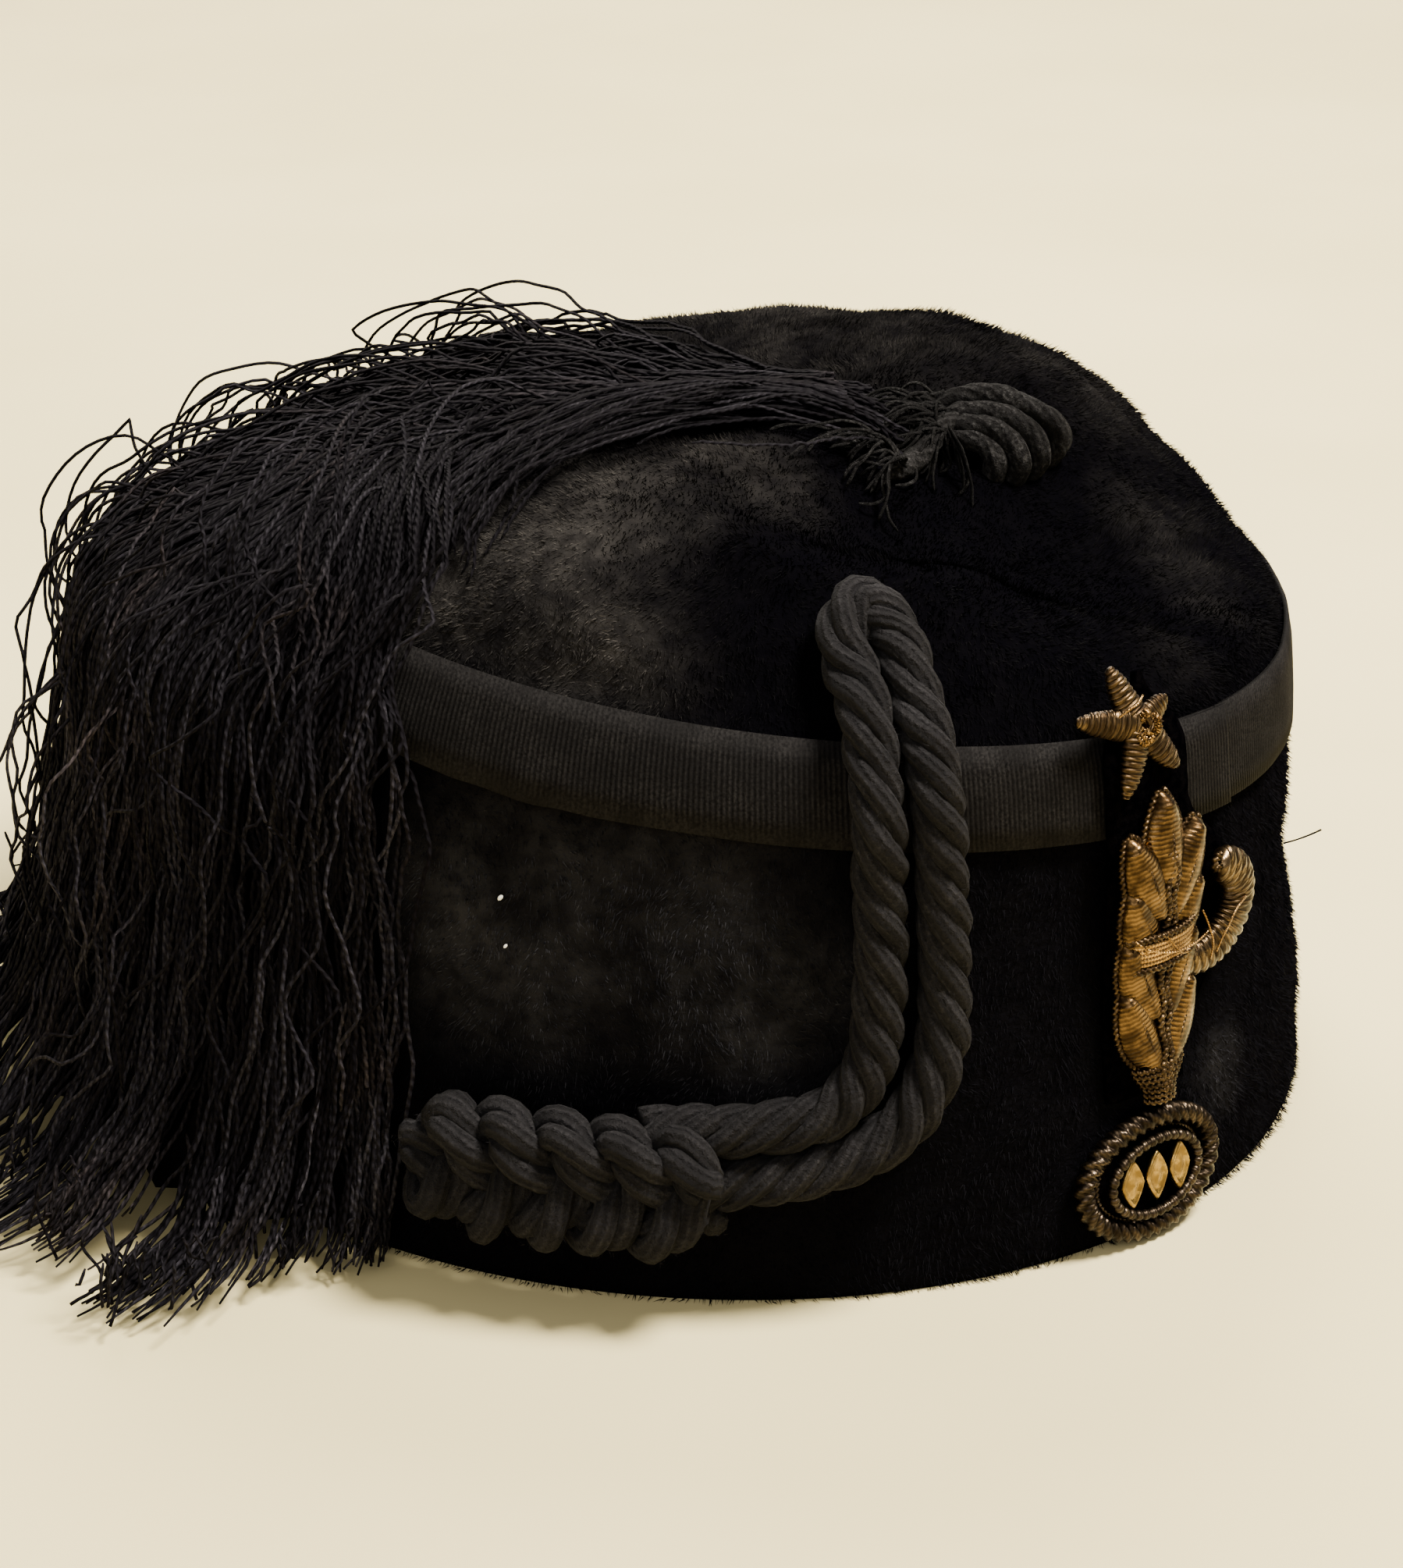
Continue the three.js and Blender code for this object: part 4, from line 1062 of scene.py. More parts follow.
def fuzz(paths, radius, count, length, seed):
    """Loose fibres that stand off cords, one thin blade each."""
    rng = np.random.default_rng(seed)
    points = np.concatenate(paths)
    pick = rng.integers(0, len(points), count)
    away = unit(rng.normal(0, 1, (count, 3)) + outward(points[pick]) * 0.9)
    base = points[pick] + away * radius * 0.93
    ahead = unit(away * 0.5 + rng.normal(0, 0.7, (count, 3)))
    across = unit(np.cross(ahead, rng.normal(0, 1, (count, 3)))) * 0.05
    tip = base + ahead * rng.uniform(0.4, 1.0, (count, 1)) * length
    return blades(np.stack([base - across, base + across, tip], 1), 0.8)


def make_side_cord():
    shape = Shape()
    paths = [cord_path()] + [plait_path(k) for k in range(3)]
    strand(shape, paths[0], CORD_RADIUS, CORD_PLIES, LAY_PITCH, outward, 1)
    for k, path in enumerate(paths[1:]):
        strand(shape, path, PLAIT_RADIUS, 3, PLAIT_PITCH, outward, 20 + 7 * k)
    yarn = yarn_cloth("cord_yarn", (0.0105, 0.01, 0.0112), (0.0235, 0.0225, 0.0248), 17.0, 9.0, 0.2)
    new_piece("cord_strands", shape, yarn, ["side_cord"])
    new_piece("cord_fuzz", fuzz(paths, CORD_RADIUS, CORD_FIBRES, FIBRE_LENGTH, 3), yarn)


# Tassel

def fan_middle(share, along):
    """Place in plan of the threads at a share round the fan, along from the root to the edge of the top."""
    end = np.radians(FAN_FIRST + (FAN_LAST - FAN_FIRST) * share)
    edge = cap_point(end, EDGE_UP)[:, None, :2]
    start = (share[:, None] - 0.5) * 15 * (1 - along)
    bow = FAN_BOW * arch(np.minimum(along, 1) ** 1.25) * ((1 - share) ** 2)[:, None]
    straight = ROOT + (edge - ROOT) * (along + 0 * start)[..., None]
    return straight + start[..., None] * np.array([0.6, 0.8]) + bow[..., None] * np.array([0.3, 0.95])


def fan_path(share, depth, reach, side, knots=46):
    """Paths of threads: share round the fan, depth in the bundle, reach to the end, side step in mm.

    Each is one value a thread, and side may be one a knot. Returns the angle, share up and lift of each."""
    q = np.linspace(0, 1, knots)
    on_top = q < OVER_TOP
    side = side[:, None] * np.ones(knots) if side.ndim == 1 else side
    angle_end = np.radians(FAN_FIRST + (FAN_LAST - FAN_FIRST) * share)
    along = np.clip(q / OVER_TOP, 0, 1)[None]
    middle = fan_middle(share, along)
    ahead = unit(fan_middle(share, along + 0.05) - middle)
    step = side * (0.3 + 0.7 * along)
    x = middle[..., 0] - ahead[..., 1] * step
    y = middle[..., 1] + ahead[..., 0] * step
    top_angle, top_share = angle_share(x, y)
    top_off = np.interp(along, FAN_TOP[:, 0], FAN_TOP[:, 1])
    top_deep = np.interp(along, FAN_TOP[:, 0], FAN_TOP[:, 2])
    fall = np.clip((q - OVER_TOP) / (1 - OVER_TOP), 0, 1)[None] * reach[:, None]
    up = np.interp(fall, SIDE_RUN, FAN_SIDE[:, 0])
    stand = np.interp(share, FAN_STAND[:, 0], FAN_STAND[:, 1])[:, None]
    outer = np.interp(fall, SIDE_RUN, FAN_SIDE[:, 1]) * (1 + (stand - 1) * ramp(fall, 0.05, 0.55))
    last = top_angle[:, on_top][:, -1:]
    settle = angle_end[:, None] - side / 95.0
    settle = last + (np.angle(np.exp(1j * (settle - last)))) * ramp(fall, 0, 0.25)
    angle = np.where(on_top, top_angle, settle)
    last_up = top_share[:, on_top][:, -1:]
    up = np.where(on_top, top_share, up + (last_up - EDGE_UP) * (1 - ramp(fall, 0, 0.2)))
    top_lift = top_off + top_deep * depth
    packed = 0.1 + 0.35 * ramp(fall, 0.45, 1.0)
    side_lift = 0.6 + outer * (packed + (1 - packed) * depth)
    blend = ramp(q, OVER_TOP - 0.12, OVER_TOP + 0.12)
    return np.unwrap(angle, axis=1), up, top_lift * (1 - blend) + side_lift * blend


def place_fan(angle, up, lift):
    p = off_cap(angle, up, lift)
    p[..., 2] = np.maximum(p[..., 2], THREAD_RADIUS + 0.05)
    return p


def hang_threads(shape, rng, locks, each, loose, step):
    """Threads of the tassel in loose locks; loose is how far they stray, 1 for those of the body."""
    count = locks * each
    lock = np.repeat(np.arange(locks), each)
    knots = 64
    q = np.linspace(0, 1, knots)[None]
    mile = q * THREAD_LENGTH
    lock_share = np.clip((np.arange(locks) + rng.uniform(-0.9, 0.9, locks)) / (locks - 1), 0, 1) ** 1.3
    share = np.clip(lock_share[lock] + rng.normal(0, 0.005, count), -0.012, 1.012)
    tuft = np.argmin(np.abs(share[:, None] - TUFTS[None]), axis=1)
    lock_depth = rng.uniform(0.2, 1.0, locks) ** 0.7
    depth = np.clip(lock_depth[lock] + rng.normal(0, 0.14, count), 0.08, 1.05)[:, None]
    matted = ramp(q, 0.74, 0.97)
    depth = depth * (1 - 0.5 * matted) + 0.5 * matted * (0.55 + 0.35 * np.sin(tuft * 2.4))[:, None]
    reach = 0.975 + 0.03 * np.sin(tuft * 3.7) - np.abs(rng.normal(0, 0.024, count))
    lock_seed = lock[:, None] * 2.9 + rng.uniform(0, 50)
    seed = np.arange(count)[:, None] * 1.37 + rng.uniform(0, 50)
    sway = 0.35 + 0.65 * ramp(q, 0.0, 0.22)
    own = rng.normal(0, 2.1, (count, 1))
    side = own * (0.5 + 0.8 * np.abs(waves(mile, 30, lock_seed + 5)))
    side = side + loose * sway * wander(mile, lock_seed, (4.6, 48, 0), (1.8, 19, 2))
    side = side + loose * sway * wander(mile, seed, (3.6, 27, 0), (2.2, 9.5, 4))
    side = side + rng.normal(0, 0.24, (count, knots)) * sway
    crossing = rng.normal(0, 5.5, locks)[lock] + rng.normal(0, 2.5, count)
    side = side + crossing[:, None] * bump(q - 0.24, 0.22)
    side = side + ((TUFTS[tuft] - share) * FAN_ARC)[:, None] * 0.62 * matted - 0.35 * side * matted
    angle, up, lift = fan_path(share, depth, np.clip(reach, 0.75, 1.0), side, knots)
    tall = 1.9 * np.abs(waves(mile, 34, seed + 7)) + 1.0 * waves(mile, 9, seed + 9)
    lift = lift + loose * sway * tall + rng.normal(0, 0.2, (count, knots))
    paths = place_fan(angle, np.clip(up, 0, 0.98), np.maximum(lift, 0.7))
    tone = rng.uniform(0.0, 1.0, locks)[lock] ** 2.5 * 0.3 + rng.uniform(0.0, 1.0, count) ** 3.5 * 0.85
    add_threads(shape, paths, step, THREAD_RADIUS, tone)
    return paths[:, -1]


def add_threads(shape, paths, step, radius, shade):
    """Sweeps three-sided threads along paths, with even steps."""
    runs = run_along(paths)[:, -1]
    bins = np.maximum(4, np.round(runs / step / 4).astype(int) * 4)
    rows = np.linspace(0, paths.shape[1] - 1, 3 * paths.shape[1])
    for size in np.unique(bins):
        mine = np.where(bins == size)[0]
        group = []
        for i in mine:
            fine = through(paths[i], rows)
            group.append(at_stops(fine, np.linspace(0, run_along(fine)[-1], size + 1)))
        group = np.stack(group)
        taper = 1 - 0.45 * ramp(np.linspace(0, 1, size + 1), 0.96, 1.0)
        # Threads darker towards the top of the cap: painted shade against the light from above
        painted_top_shade = 1 - 0.62 * ramp(group[..., 2], 52, 98)
        shape.sweep(group, outward_top(group), radius * taper[None], 3, shade=shade[mine][:, None] * painted_top_shade)


def tassel_core():
    """Dark body of the tassel under its single threads, painted shade in the depth of the bundle, ridged
    along them, with jagged ends.
    """
    columns, knots = 190, 44
    share = np.linspace(0.015, 0.985, columns)
    ridge = 0.5 + 0.25 * waves(share * 1000, 7, 3) + 0.3 * waves(share * 1000, 19, 4)
    tuft = np.min(np.abs(share[:, None] - TUFTS[None]), axis=1) * len(TUFTS) * 2
    reach = np.clip(0.972 - 0.05 * tuft + 0.02 * waves(share * 1000, 9, 8), 0.6, 0.98)
    thin_edge = np.minimum(1, 14 * np.minimum(share, 1 - share))
    full = ((0.3 + 0.42 * ridge) * thin_edge)[:, None]
    zero = np.zeros(columns)
    angle, up, lift = fan_path(share, full, reach, zero, knots)
    q = np.linspace(0, 1, knots)[None]
    thin = (1 - ramp(q, 0.93, 1.0)) * ramp(q, 0.12, 0.4)
    _, _, low = fan_path(share, 0 * full, reach, zero, knots)
    low = np.minimum(low, 0.9)
    depth = (lift - low) * (0.04 + 0.96 * thin)
    first = 7
    inner = place_fan(angle, up, low)[:, first:]
    outer = place_fan(angle, up, low + depth + 0.3)[:, first:]
    outer[..., 2] = np.maximum(outer[..., 2], 0.8)
    shape = Shape()
    shape.loft(np.concatenate([outer, inner[:, ::-1]], axis=1), shade=0.0)
    return shape


def end_tufts(shape, rng, ends, count):
    """Matted curls at the ends of the locks."""
    pick = ends[rng.integers(0, len(ends), count)]
    knots = 20
    t = np.linspace(0, 1, knots)[None, :, None]
    seed = np.arange(count)[:, None] * 3.1
    mile = np.linspace(0, 12, knots)[None]
    drift = np.stack([waves(mile, 6.5, seed + more) for more in (0, 7, 13)], -1)
    away = outward(pick * np.array([1, 1, 0])) * rng.uniform(-6, 1.5, (count, 1))
    away = away + rng.normal(0, 0.8, (count, 3))
    paths = pick[:, None] + drift * rng.uniform(0.8, 2.2, (count, 1, 1)) + away[:, None] * t
    paths[..., 2] += rng.uniform(0, 4, (count, 1)) + rng.uniform(2, 9, (count, 1)) * t[..., 0]
    paths[..., 2] = np.maximum(paths[..., 2], THREAD_RADIUS + 0.05)
    add_threads(shape, paths, 1.0, 0.3, rng.uniform(0.02, 0.4, count))


def lean_place(along, away):
    """Place in plan from a distance along LEAN and one away from the camera's side."""
    return LEAN[0] * along - LEAN[1] * away, LEAN[1] * along + LEAN[0] * away


def head_plies(shape):
    """The cord's plies that arch over from the crown centre like a hood, and the cut one beside them."""
    ends = []
    for k, ply in enumerate(HEAD_PLIES):
        row = np.array(ply)
        x, y = lean_place(row[:, 0], row[:, 1])
        path = smooth_path(off_top(x, y, row[:, 2]), 0.5)
        run = run_along(path)
        sides = 18
        a = TAU * np.arange(sides) / sides
        rough = 0.06 * yarn_grain(run, a, 1.8, 2.4, 7 * k)
        taper = 0.62 + 0.38 * ramp(run, 0, 5)
        taper = taper * (1 - 0.45 * ramp(run / run[-1], 0.55, 1.0)) if k == len(HEAD_PLIES) - 1 else taper
        shape.sweep(path, outward_top(path), HEAD_PLY_RADIUS * taper * (1 + 0.1 * waves(run, 4, k)), sides,
                    turn=TAU * run / 20, lobes=(1 + 0.05 * np.cos(5 * a)[None] + rough)[None], shade=0.9)
        ends.extend(path[:int(3 / 0.5)] if k < len(HEAD_PLIES) - 1 else path[-14:-6])
    return np.array(ends)


def frayed_ends(shape, rng, ends):
    """Loose yarns that leave the plies and droop over the crown towards the fan of threads."""
    count = FRAYED_YARNS
    start = ends[rng.integers(0, len(ends), count)] + rng.normal(0, 0.8, (count, 3))
    length = rng.uniform(5, 13, count) * np.where(rng.uniform(0, 1, count) < 0.12, 1.5, 1.0)
    heading = np.radians(rng.normal(166, 26, count))
    t = np.linspace(0, 1, 14)[None]
    seed = np.arange(count)[:, None] * 2.1
    bend = heading[:, None] + 0.7 * waves(t * 12, 9, seed) + 0.3 * t
    x = start[:, :1] + np.cos(bend) * length[:, None] * t + rng.normal(0, 0.06, (count, 14))
    y = start[:, 1:2] + np.sin(bend) * length[:, None] * t + rng.normal(0, 0.06, (count, 14))
    lift = 2.6 * (1 - t) + 0.5 + rng.uniform(0, 3.6, (count, 1)) * arch(t)
    add_threads(shape, off_top(x, y, lift), 0.9, 0.29, rng.uniform(0.3, 1.0, count))


def wisps(shape, rng, count):
    """A sheaf of threads that runs loosely over the crown from the head and drops on the felt."""
    last = 30
    curve = through(WISP_ROUTE, np.linspace(0, len(WISP_ROUTE) - 1, last + 1))
    t = np.linspace(0, 1, 40)[None]
    stop = rng.uniform(0.2, 1.0, (count, 1))
    first = rng.uniform(0, 0.3, (count, 1)) * (1 - stop)
    where = first + t * (stop - first)
    mile = where * last * 2.5
    seed = np.arange(count)[:, None] * 1.7
    wide = rng.normal(0, 0.85, (count, 1)) * (1.5 + 7.5 * arch(0.1 + 0.9 * where))
    wide = wide - 10 * rng.uniform(0, 1, (count, 1)) ** 3 * ramp(where, 0.3, 1.0)
    x, y = (np.interp(where * last, np.arange(last + 1), curve[:, k]) for k in (0, 1))
    x = x + 0.35 * wide + wander(mile, seed, (4.2, 15, 0), (1.4, 5.5, 7)) + rng.normal(0, 0.18, x.shape)
    y = y + wide + wander(mile, seed, (4.2, 15, 5), (1.4, 5.5, 8)) + rng.normal(0, 0.18, y.shape)
    rise = rng.uniform(0.3, 6.5, (count, 1)) * arch(np.clip(where * 1.05, 0, 1)) ** 0.7
    lift = np.maximum(0.9 + rise + 1.4 * waves(mile, 9, seed + 9), 0.5)
    add_threads(shape, off_top(x, y, lift), 1.7, 0.29, rng.uniform(0.05, 0.95, count) ** 3)


def stray_loops(shape, rng, count):
    """Threads that spring off the outside of the tassel in loose loops."""
    share = rng.uniform(0.0, 1.0, count)
    knots = 120
    side = rng.normal(0, 3, count)
    angle, up, lift = fan_path(share, np.ones((count, 1)), np.full(count, 0.97), side, knots)
    length = rng.integers(16, 46, count)
    first = (rng.uniform(0.1, 0.95, count) * (knots - length)).astype(int)
    t = np.linspace(0, 1, 26)
    rows = first[:, None] + length[:, None] * t
    take = np.arange(count)[:, None]
    low = np.floor(rows).astype(int)
    f = rows - low
    pick = [v[take, low] * (1 - f) + v[take, np.minimum(low + 1, knots - 1)] * f for v in (angle, up, lift)]
    seed = np.arange(count)[:, None] * 2.3
    hump = arch(t)[None] ** 0.8
    spring = rng.uniform(0.5, 1.0, (count, 1)) ** 2 * 11
    mile = t * 60
    turn = pick[0] + wander(mile, seed, (0.07, 20, 0), (0.02, 6, 4)) * (0.3 + hump)
    rise = pick[2] + spring * hump + 1.8 * waves(mile, 7, seed + 8) * hump - 2.5 * (1 - hump)
    high = np.clip(pick[1] + 0.02 * waves(mile, 12, seed + 11) * hump, 0, 0.97)
    paths = place_fan(turn, high, np.maximum(rise, 0.7))
    add_threads(shape, paths, 2.1, 0.32, rng.uniform(0.1, 1.0, count) ** 2)


def make_tassel():
    threads = thread_cloth()
    rng = np.random.default_rng(11)
    new_piece("tassel_core", tassel_core(), deep_cloth(), ["tassel"])
    ends = []
    for name in ("tassel_threads_a", "tassel_threads_b"):
        shape = Shape()
        ends.append(hang_threads(shape, rng, LOCKS, LOCK_THREADS, 1.0, THREAD_STEP))
        new_piece(name, shape, threads)
    strays = Shape()
    hang_threads(strays, rng, STRAY_THREADS, 1, 2.4, 2.2)
    stray_loops(strays, rng, STRAY_LOOPS)
    wisps(strays, rng, WISPS)
    end_tufts(strays, rng, np.concatenate(ends), END_CURLS)
    new_piece("tassel_strays", strays, threads)
    head = Shape()
    head_ends = head_plies(head)
    yarn = yarn_cloth("head_yarn", (0.005, 0.0047, 0.005), (0.034, 0.033, 0.034), 20.0, 8.0, 0.12)
    new_piece("tassel_head", head, yarn)
    frayed = Shape()
    frayed_ends(frayed, rng, head_ends)
    new_piece("tassel_frays", frayed, yarn)


# Badge

def backing_seat(z):
    foot = ribbon_foot(-math.pi / 2)
    return RIBBON_SEAT + ramp(z, foot - 24, foot - 2.5) * (RIBBON_THICKNESS + RIBBON_LAP + 0.45)


def on_backing(z):
    return backing_seat(z) + BACKING_THICKNESS + 0.25


def front_path(x, z, lift):
    """Path on the front wall, lift over the backing."""
    return off_front(x, z, on_backing(z) + lift)


def wire_ridge(phase):
    """Round back of a wire, once for each whole number of the phase."""
    return np.sqrt(np.clip(1 - (2 * (phase % 1) - 1) ** 2, 0, 1))


def coiled(shape, x, z, lift, half_width, flat, wire, slant=0.0, sides=16):
    """A padded bar with wire coiled round it: x, z and half_width run along it."""
    path = front_path(x, z, lift)
    run = run_along(path)
    stops = np.linspace(0, run[-1], int(run[-1] / wire * 2.5) + 1)
    fine = at_stops(path, stops)
    wide = np.interp(stops, run, half_width)
    a = TAU * np.arange(sides) / sides
    ridge = wire_ridge((stops[:, None] + slant * wide[:, None] * np.cos(a)[None]) / (2 * wire))
    lobes = 1 + (ridge - 0.4) * (wire * 1.25 / np.maximum(wide, 0.6))[:, None]
    # Painted shade in the grooves between the coils of wire
    shape.sweep(fine, outward(fine), wide, sides, flat=flat, lobes=lobes[None], shade=ridge[None] ** 1.5)


def twisted(shape, path, radius, pitch, plies=2, sides=12, closed=False, step=0.35):
    """Fine cord of two or three plies along a path."""
    fine = evenly(path, step)
    if closed:
        fine = fine[:-1]
    run = run_along(fine)
    a = TAU * np.arange(sides) / sides
    ridge = np.cos(plies * a)
    lobes = 1 + (0.22 if plies == 2 else 0.16) * ridge
    total = run[-1] + step
    turns = max(1, round(total / pitch))
    turn = TAU * turns * run / total if closed else TAU * run / pitch
    # Painted shade between the plies
    shade = (0.3 + 0.7 * (0.5 + 0.5 * ridge))[None, None]
    shape.sweep(fine, outward(fine), radius, sides, turn=turn, lobes=lobes, closed=closed, shade=shade)


def leaf_places(x, z, degrees, along, side):
    a = math.radians(degrees)
    return (x + LEAF_LENGTH * along * math.cos(a) - side * math.sin(a),
            z + LEAF_LENGTH * along * math.sin(a) + side * math.cos(a))


def leaf_half_width(along):
    return 0.5 * LEAF_WIDTH * arch(np.clip(along, 0.02, 0.98) ** 0.85) ** 0.75


def leaf(gold, edge, x, z, degrees, lift):
    """A padded leaf of flat wires laid lengthwise, with a corded edge and midrib."""
    along = np.linspace(0.02, 0.985, 46)
    half = leaf_half_width(along)
    px, pz = leaf_places(x, z, degrees, along, 0 * along)
    path = front_path(px, pz, 0.35 + lift)
    sides = 26
    a = TAU * np.arange(sides) / sides
    wires = 1 + 0.045 * np.abs(np.cos(6.5 * a))
    flat = (LEAF_THICKNESS - 1.0) / np.maximum(half, 1.0) * np.minimum(1, half / 1.6)
    gold.sweep(path, outward(path), np.maximum(half, 0.25), sides, flat=flat, lobes=wires, shade=1.0)
    for sign in (-1, 1):
        ex, ez = leaf_places(x, z, degrees, along, sign * (half + 0.1))
        twisted(edge, front_path(ex, ez, 0.55 + lift), 0.46, 1.9)
    rib = np.linspace(0.05, 0.9, 30)
    rx, rz = leaf_places(x, z, degrees, rib, 0 * rib)
    twisted(edge, front_path(rx, rz, lift + LEAF_THICKNESS - 0.75 - 0.9 * np.abs(rib - 0.45)), 0.32, 1.5)


def spray(gold, edge):
    pitch = (SPRAY_TOP - SPRAY_FOOT - LEAF_LENGTH * 0.9) / LEAF_PAIRS
    for i in range(LEAF_PAIRS):
        z = SPRAY_FOOT + 2 + i * pitch
        leaf(gold, edge, SPRAY_X - 0.8, z, 90 + LEAF_SPLAY, 0.05 * i)
        leaf(gold, edge, SPRAY_X + 0.8, z, 90 - LEAF_SPLAY, 0.05 * i + 0.02)
    leaf(gold, edge, SPRAY_X, SPRAY_TOP - LEAF_LENGTH, 91, 0.2)
    z = np.linspace(SPRAY_FOOT - 1, SPRAY_TOP - LEAF_LENGTH * 0.6, 60)
    for side in (-0.55, 0.55):
        x = SPRAY_X + side + 0.35 * np.sin(z * 0.9 + side)
        twisted(edge, front_path(x, z, 2.5 + 0 * z), 0.55, 2.1)


def foot_binding(edge):
    """Coils of cord that bind the foot of the spray to the disc."""
    for z in np.arange(SPRAY_FOOT - 2.2, SPRAY_FOOT + 3.4, 0.85):
        t = np.linspace(-1, 1, 15)
        wide = 2.4 + 2.2 * ramp(z, SPRAY_FOOT - 1, SPRAY_FOOT + 3)
        path = front_path(SPRAY_X + wide * t, z + 0.25 * t, 0.3 + 2.3 * np.sqrt(np.clip(1 - t * t, 0, 1)))
        twisted(edge, path, 0.45, 1.7)


def spray_tie(bright, edge):
    """A tie of bright flat wire round the middle of the spray, between two turns of cord; its pale gold is
    partly a painted highlight for a bright band across the spray.
    """
    t = np.linspace(-1, 1, 31)
    bulge = 3.1 * np.sqrt(np.clip(1.04 - t * t, 0, 1)) + 0.35
    for k in range(TIE_WIRES):
        z = TIE_FOOT + TIE_PITCH * k
        path = front_path(SPRAY_X + 6.3 * t, z + 0.5 * t, bulge)
        bright.sweep(evenly(path, 0.5), outward(evenly(path, 0.5)), 0.44, 8, flat=0.7, shade=1.0)
    for z in TIE_CORDS:
        twisted(edge, front_path(SPRAY_X + 6.5 * t, z + 0.5 * t, bulge + 0.15), 0.5, 1.8)


def star(shape):
    for k, (degrees, length) in enumerate(STAR_ARMS):
        a = math.radians(degrees)
        d = np.linspace(0.6, length, 24)
        out = d / length
        half = STAR_HALF_WIDTH * (1 - 0.62 * out ** 1.6) * np.minimum(1, 3.5 * (1.06 - out)) ** 0.5
        rise = 0.6 + 0.25 * bump(d, 5) + 0.03 * k
        coiled(shape, STAR_X + d * math.cos(a), STAR_Z + d * math.sin(a), rise, np.maximum(half, 0.3), 0.66,
               COIL_WIRE, slant=0.12 * (-1) ** k)


def star_heart(gold, rng):
    """A knot of bright purl at the middle of the star."""
    for _ in range(9):
        a = rng.uniform(0, TAU)
        r = rng.uniform(0.2, 1.7)
        t = np.linspace(0, 1, 9)
        turn = a + (t - 0.5) * rng.uniform(1.5, 3.5)
        x = STAR_X + 0.6 + r * np.cos(a) + 1.0 * np.cos(turn)
        z = STAR_Z + 0.3 + r * np.sin(a) + 1.0 * np.sin(turn)
        twisted(gold, front_path(x, z, 2.0 + 0.7 * arch(t) * rng.uniform(0.5, 1.3)), 0.42, 0.9)


def tendril(shape, gold):
    t = np.linspace(0, 1, 60)
    a = np.radians(TENDRIL_FROM + TENDRIL_SWEEP * t)
    x = TENDRIL_X + TENDRIL_HALF_WIDTH * np.cos(a)
    z = TENDRIL_Z + TENDRIL_HALF_HEIGHT * np.sin(a)
    half = 1.1 + 2.0 * arch(0.05 + 0.8 * t) ** 0.9
    coiled(shape, x, z, 1.1, half, 0.62, 0.72, slant=0.3)
    curl = np.radians(75 + 250 * t)
    cx = x[-1] - 0.7 + 1.2 * np.cos(curl) * (1 - 0.35 * t)
    cz = z[-1] + 0.4 + 1.2 * np.sin(curl) * (1 - 0.35 * t)
    twisted(gold, front_path(cx, cz, 1.4 + 0 * t), 0.55, 1.5)


def disc_places(scale, count):
    a = np.linspace(0, TAU, count)
    return DISC_X + DISC_HALF_WIDTH * scale * np.cos(a), DISC_Z + DISC_HALF_HEIGHT * scale * np.sin(a)


def mound(profile, outline, seat, shade):
    """Low solid on the front wall: rows of scale and rise, and a function with the outline at a scale."""
    shape = Shape()
    shape.loft(np.stack([off_front(*outline(scale), seat + rise) for scale, rise in profile]), shade=shade)
    return shape


def disc_pad():
    """Padded oval of black cloth."""
    inside = 1 - (2 * DISC_ROPE + 0.3) / DISC_HALF_HEIGHT
    columns = 72

    def outline(scale):
        x, z = disc_places(inside * scale, columns + 1)
        return x[:-1], z[:-1]

    return mound(PAD_PROFILE, outline, RIBBON_SEAT, 0.5)


def disc_rope(shape):
    x, z = disc_places(1 - DISC_ROPE / DISC_HALF_HEIGHT, 160)
    outer = off_front(x, z, RIBBON_SEAT + DISC_ROPE)
    twisted(shape, outer, DISC_ROPE * 0.98, 5.4, plies=3, sides=18, closed=True)
    x, z = disc_places(1 - (DISC_ROPE * 2.1) / DISC_HALF_HEIGHT, 160)
    twisted(shape, off_front(x, z, RIBBON_SEAT + 1.0), 0.5, 1.7, closed=True)


def disc_beads(shape):
    """Ring of short coils of purl, like beads on a string."""
    scale = 1 - (2 * DISC_ROPE + 0.3 + 1.2 * DISC_BEAD) / DISC_HALF_HEIGHT
    x, z = disc_places(scale, 200)
    path = evenly(off_front(x, z, RIBBON_SEAT + DISC_PAD + 0.3 + DISC_BEAD * 0.8), 0.2)[:-1]
    run = run_along(path)
    ridge = wire_ridge(run / (run[-1] + 0.2) * round(run[-1] / BEAD_PITCH))
    radius = DISC_BEAD * (0.45 + 0.55 * ridge)
    # Painted shade between the beads
    shape.sweep(path, outward(path), radius, 10, closed=True, shade=(0.2 + 0.8 * ridge)[None])


def stud(index):
    """A plain gilt lozenge with a raised edge and a low pyramid inside."""
    a = TAU * np.arange(32) / 32
    pointed = 1 / (np.abs(np.cos(a)) ** 1.25 + np.abs(np.sin(a)) ** 1.25) ** 0.8

    def outline(scale):
        x = DISC_X + (index - 1) * STUD_PITCH + STUD_HALF_WIDTH * scale * pointed * np.cos(a)
        return x, DISC_Z + STUD_HALF_HEIGHT * scale * pointed * np.sin(a)

    return mound(STUD_PROFILE, outline, RIBBON_SEAT + DISC_PAD + 0.25, 1.0)


